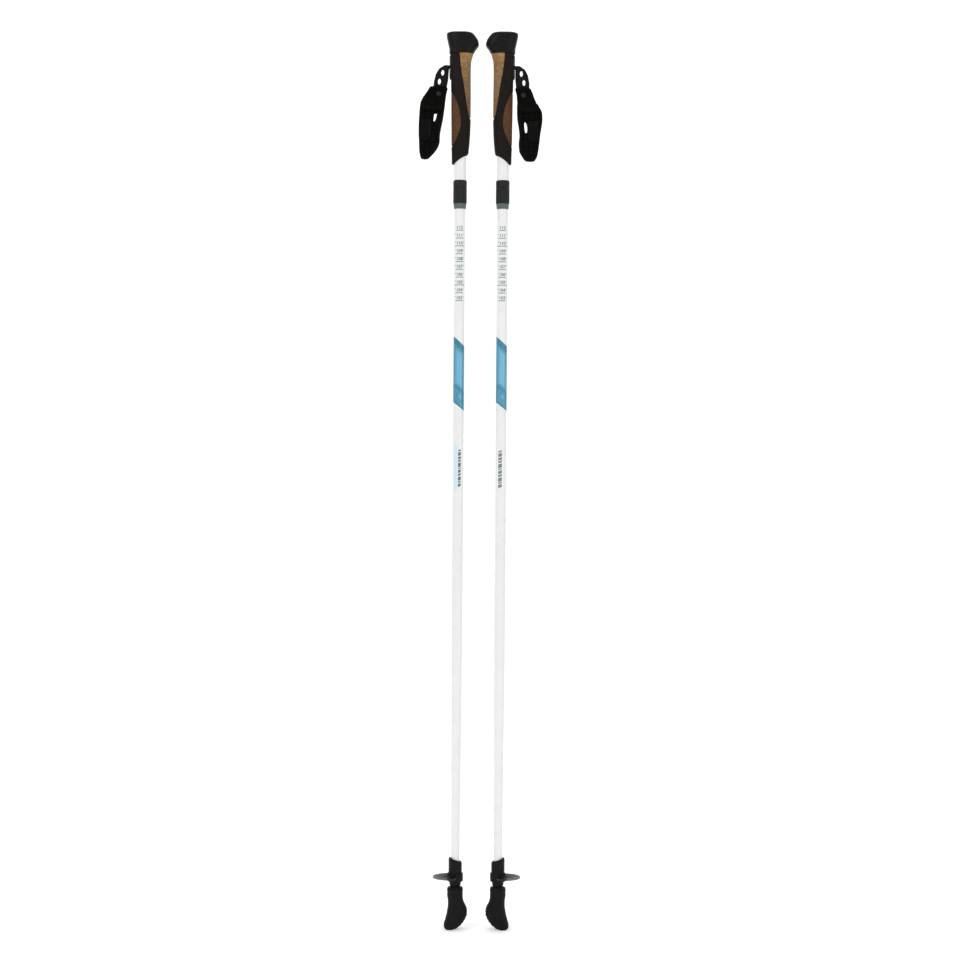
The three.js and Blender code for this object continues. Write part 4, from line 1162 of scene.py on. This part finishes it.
# ------------------------------------------------------------------ printing on the lower tube, and painted light on its blue band
def patch(z_lo, z_hi, a0, a1, n_a=16, n_z=2, r_of=r_low, out=0.045, dip=0.03):
    """A film that follows the tube, for the print and for painted light on the blue band: a0..a1 in degrees from the
    front (-Y), counted to the right. z_lo and z_hi may depend on x.
    """
    aa = np.radians(np.linspace(a0, a1, n_a))
    full = abs(abs(a1 - a0) - 360) < 1e-6
    if full:
        aa = aa[:-1]
    zl = z_lo if callable(z_lo) else (lambda x: z_lo)
    zh = z_hi if callable(z_hi) else (lambda x: z_hi)
    L = []
    cols = []
    for a in aa:
        x = 7.0 * sin(a)
        ring = []
        lo, hi = zl(x), zh(x)
        for t in np.linspace(0, 1, n_z):
            z = lo + (hi - lo) * t
            r = r_of(z) + out
            ring.append((r * sin(a), -r * cos(a), z))
        for t in np.linspace(1, 0, n_z):
            z = lo + (hi - lo) * t
            r = r_of(z) - dip
            ring.append((r * sin(a), -r * cos(a), z))
        cols.append(ring)
    return rings(cols, loop=full)


def number(text, size, z, angle, radius):
    """Digits wrapped on the tube, centred at that angle."""
    cu = bpy.data.curves.new("digits", "FONT")
    cu.body, cu.size, cu.align_x, cu.align_y = text, size, "CENTER", "CENTER"
    cu.extrude, cu.offset = 0.035, 0.022 * size
    cu.resolution_u = 3
    ob = bpy.data.objects.new("digits", cu)
    bpy.context.scene.collection.objects.link(ob)
    V, F = evaluated(ob)
    V = V.copy()
    drop(ob)
    V, F = weld(V, F, 1e-3)
    t = temp(V, F)
    bm = bmesh.new()
    bm.from_mesh(t.data)
    for x in np.arange(math.floor(V[:, 0].min()), V[:, 0].max(), 0.7):
        bmesh.ops.bisect_plane(bm, geom=bm.verts[:] + bm.edges[:] + bm.faces[:], plane_co=(float(x), 0, 0), plane_no=(1, 0, 0), dist=1e-5)
    bm.to_mesh(t.data)
    bm.free()
    V, F = arrays(t.data)
    V = V.copy()
    drop(t)
    a = math.radians(angle) + V[:, 0] / radius
    r = radius + 0.012 + V[:, 2]
    return np.c_[r * np.sin(a), -r * np.cos(a), z + V[:, 1]], F


scale_marks, digits = [], []
for i in range(10):
    z = 896.2 - 10.0 * i
    long = (112 - i) % 5 == 0
    scale_marks.append(patch(z - 0.55, z + 0.55, -62 if long else -40, 62 if long else 40, 15))
    digits.append(number(str(112 - i), 5.6, z + 3.5, 0, 7.0))
    if i < 9:
        scale_marks.append(patch(z - 5.3, z - 4.7, 38, 60, 5))
        scale_marks.append(patch(z - 5.3, z - 4.7, -60, -38, 5))
scale_print = join(*scale_marks)
digit_print = join(*digits)
top_edge = lambda x: 754.5 - 0.93 * x
low_edge = lambda x: 670.8 - 0.82 * x
# the dark base and the mid-blue ring go all round and are the print
band_base = patch(low_edge, top_edge, 0, 360, 97, 8)
band_main = patch(lambda x: low_edge(x) + 24.0, lambda x: top_edge(x) - 9.0, 0, 360, 97, 4, out=0.06)
# painted light: a lighter blue over the front of the band's middle section
band_painted_light = patch(lambda x: low_edge(x) + 26.5, lambda x: top_edge(x) - 12.0, -40, 48, 23, 4, out=0.07)
# painted highlight: the lightest blue down the middle of the front
band_painted_highlight = patch(lambda x: low_edge(x) + 28.5, lambda x: top_edge(x) - 14.5, -20, 34, 15, 4, out=0.08)
# painted light on the front of the band's foot; the foot's sides and back stay dark, painted shade
band_low = patch(lambda x: low_edge(x) + 3.0, lambda x: low_edge(x) + 21.0, -44, 44, 23, 3, out=0.06)
# painted highlight: a small glint on the foot's front
band_glint = patch(lambda x: low_edge(x) + 11.0, lambda x: low_edge(x) + 16.0, 2, 22, 7, 2, out=0.07)
# generic dashes where the tube carries lettering
def dash_column(centre, half):
    out, z = [], 567.4
    for ln_ in (4.2, 2.0, 5.4, 3.0, 4.2, 1.6, 5.8, 2.6, 3.6, 4.8, 2.2):
        out.append(patch((lambda zz: (lambda x: zz + 0.35 * x))(z), (lambda zz, l_: (lambda x: zz + l_ * 0.9 + 0.35 * x))(z, ln_), centre - half, centre + half, 7, 2))
        z += ln_ + 0.8
    return join(*out)


dash_print = {"left": dash_column(15, 15), "right": dash_column(-8, 19)}
side_stripe = patch(lambda x: 564.0, lambda x: 622.0, -44, -6, 12)


# ------------------------------------------------------------------ assemble both poles
for side in SIDES:
    H, L_, ST, W = "handle", "lower", "strap", sewn_parts[side]
    make("upper_tube", side, white_upper, M["white"], H, ["upper_shaft"])
    make("lower_tube", side, white_lower, M["white"], L_, ["lower_shaft"])
    make("length_scale", side, scale_print, M["ink"], L_, world=True)
    make("length_numbers", side, digit_print, M["ink_dark"], L_, world=True, smooth=False)
    make("blue_band", side, band_base, M["blue_dark"], L_, world=True)
    make("blue_band_middle", side, band_main, M["blue_mid"], L_, world=True)
    # painted light and painted highlights over the front of the printed band
    make("blue_band_painted_light", side, band_painted_light, M["blue_soft"], L_, world=True)
    make("blue_band_painted_highlight", side, band_painted_highlight, M["blue"], L_, world=True)
    make("blue_band_foot", side, band_low, M["blue_mid"], L_, world=True)
    make("blue_band_glint", side, band_glint, M["blue"], L_, world=True)
    make("dash_print", side, dash_print[side], M["ink_dark" if side == "left" else "ink_pale"], L_, world=True)
    if side == "left":
        make("side_stripe", side, side_stripe, M["pale_blue"], L_, world=True)

    make("lock_collar_fixed", side, sleeve, M["collar"], H, ["lock_sleeve"])
    make("lock_collar_nut", side, nut, M["collar"], "lock_nut", ["lock_nut"], sharp=50)
    make("lock_wiper_ring", side, wiper, M["wiper"], "lock_nut", ["lock_wiper"])

    make("handle_rubber", side, grip, M["rubber"], H, ["grip_body"], sharp=42)
    make("handle_cork_front", side, cork_front, M["cork"], H, ["cork_front"], sharp=60)
    make("handle_cork_rear", side, cork_rear, M["cork_rear"], H, ["cork_rear"], sharp=60)
    make("handle_head", side, head, M["plastic"], H, ["head_cap"], sharp=42)
    make("strap_release_button", side, button, M["button"], "button", ["release_button"], sharp=40)
    coil = make("return_spring", side, spring, M["steel"], H, ["button_spring"], sharp=60)
    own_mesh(coil)

    make("clip_plate", side, clip, M["plastic"], ST, ["strap_clip"], tilt=True, sharp=42)
    make("clip_rivet", side, rivet, M["dark_steel"], ST, ["strap_rivet"], tilt=True)
    make("palm_strap_front_layer", side, W["palm_front"], M["webbing"], ST, ["palm_strap_front"], tilt=True, sharp=60)
    make("palm_strap_back_layer", side, W["palm_back"], M["webbing"], ST, ["palm_strap_back"], tilt=True, sharp=60)
    make("palm_stitches", side, W["palm_thread"], M["thread"], ST, tilt=True, sharp=80)
    cuff = make("padded_cuff", side, W["cuff"], M["padding"], ST, ["wrist_cuff"], tilt=True, sharp=70)
    sub = cuff.modifiers.new("round", "SUBSURF")
    sub.levels = sub.render_levels = 1
    make("cuff_binding", side, W["binding"], M["binding"], ST, tilt=True, sharp=80)
    make("cuff_stitches", side, W["cuff_thread"], M["thread"], ST, tilt=True, sharp=80)
    make("cuff_tab_strip", side, tab, M["tab"], ST, ["cuff_tab"], tilt=True, sharp=60)
    make("tab_stitches", side, tab_thread, M["thread"], ST, tilt=True, sharp=80)

    make("tip_socket", side, ferrule, M["plastic"], L_, ["tip_ferrule"])
    make("half_basket", side, basket, M["basket"], L_, ["basket"], sharp=38)
    make("basket_hub", side, hub, M["plastic"], L_, ["basket"], sharp=38)
    make("spike_shank", side, holder, M["steel"], L_, ["spike_holder"])
    make("spike_crown", side, spike, M["carbide"], L_, ["carbide_tip"])
    make("tip_pad", side, pad, M["pad"], "pad", ["rubber_pad"], sharp=40)
    make("pad_washer_ring", side, washer, M["steel"], "washer", ["pad_washer"])
    for nd, mt in (("shaft_guide", "nylon"), ("lock_collet", "nylon"), ("top_plug", "nylon"), ("head_screw", "steel")):
        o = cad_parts[f"{side}_{nd}"]
        o.data.materials.clear()
        o.data.materials.append(M[mt])

# ------------------------------------------------------------------ floor, light, camera
def stage_material():
    m, nt, b, co = new_material("studio_paper")
    f = noise(nt, co, 3.0, 3.0, 0.5)
    nt.links.new(ramp(nt, f, [(0.3, (0.93, 0.93, 0.93)), (0.7, (0.95, 0.95, 0.95))]), b.inputs["Base Color"])
    b.inputs["Roughness"].default_value = 0.9
    b.inputs["Emission Color"].default_value = (1, 1, 1, 1)
    b.inputs["Emission Strength"].default_value = 0.30
    return m


sweep = [(-8.0, 0.0), (-4.0, 0.0), (0.0, 0.0), (2.2, 0.0)] + [(2.2 + 1.6 * sin(a), 1.6 - 1.6 * cos(a)) for a in np.linspace(0.1, pi / 2, 16)] + [(3.8, 6.0)]
V = [(x, y, z) for y, z in sweep for x in (-9.0, 9.0)]
F = [(2 * i, 2 * i + 1, 2 * i + 3, 2 * i + 2) for i in range(len(sweep) - 1)]
me = bpy.data.meshes.new("studio_sweep")
me.from_pydata(V, [], F)
me.shade_smooth()
me.materials.append(stage_material())
floor = bpy.data.objects.new("studio_sweep", me)
bpy.context.scene.collection.objects.link(floor)

world = bpy.data.worlds.new("studio")
bpy.context.scene.world = world
world.use_nodes = True
bg = world.node_tree.nodes["Background"]
bg.inputs[0].default_value = (1, 1, 1, 1)
bg.inputs[1].default_value = 0.62


def area(name, loc, target, size, power, size_y=None):
    li = bpy.data.lights.new(name, "AREA")
    li.energy, li.size = power, size
    li.shape = "RECTANGLE"
    li.size_y = size_y or size
    ob = bpy.data.objects.new(name, li)
    ob.location = loc
    ob.rotation_mode = "QUATERNION"
    ob.rotation_quaternion = (Vector(target) - Vector(loc)).to_track_quat("-Z", "Y")
    bpy.context.scene.collection.objects.link(ob)
    return ob


area("key", (-1.6, -2.2, 2.3), (0, 0, 0.6), 1.2, 20, 1.8)
area("fill", (1.9, -1.9, 1.3), (0, 0, 0.6), 1.2, 9, 2.0)
area("top", (0, 0.2, 3.2), (0, 0, 0.5), 1.8, 12)

cam_data = bpy.data.cameras.new("camera")
cam = bpy.data.objects.new("camera", cam_data)
bpy.context.scene.collection.objects.link(cam)
DIST, VIEW_W = 2.4, 1.2325
cam_data.sensor_width = 36.0
cam_data.lens = 36.0 * DIST / VIEW_W
cam.location = (0.0038, -DIST, 0.5766)
cam.rotation_mode = "XYZ"
cam.rotation_euler = (pi / 2, math.radians(-0.41), 0)
cam_data.clip_end = 60
bpy.context.scene.camera = cam
bpy.context.scene.view_settings.view_transform = "Standard"
bpy.context.scene.view_settings.look = "None"
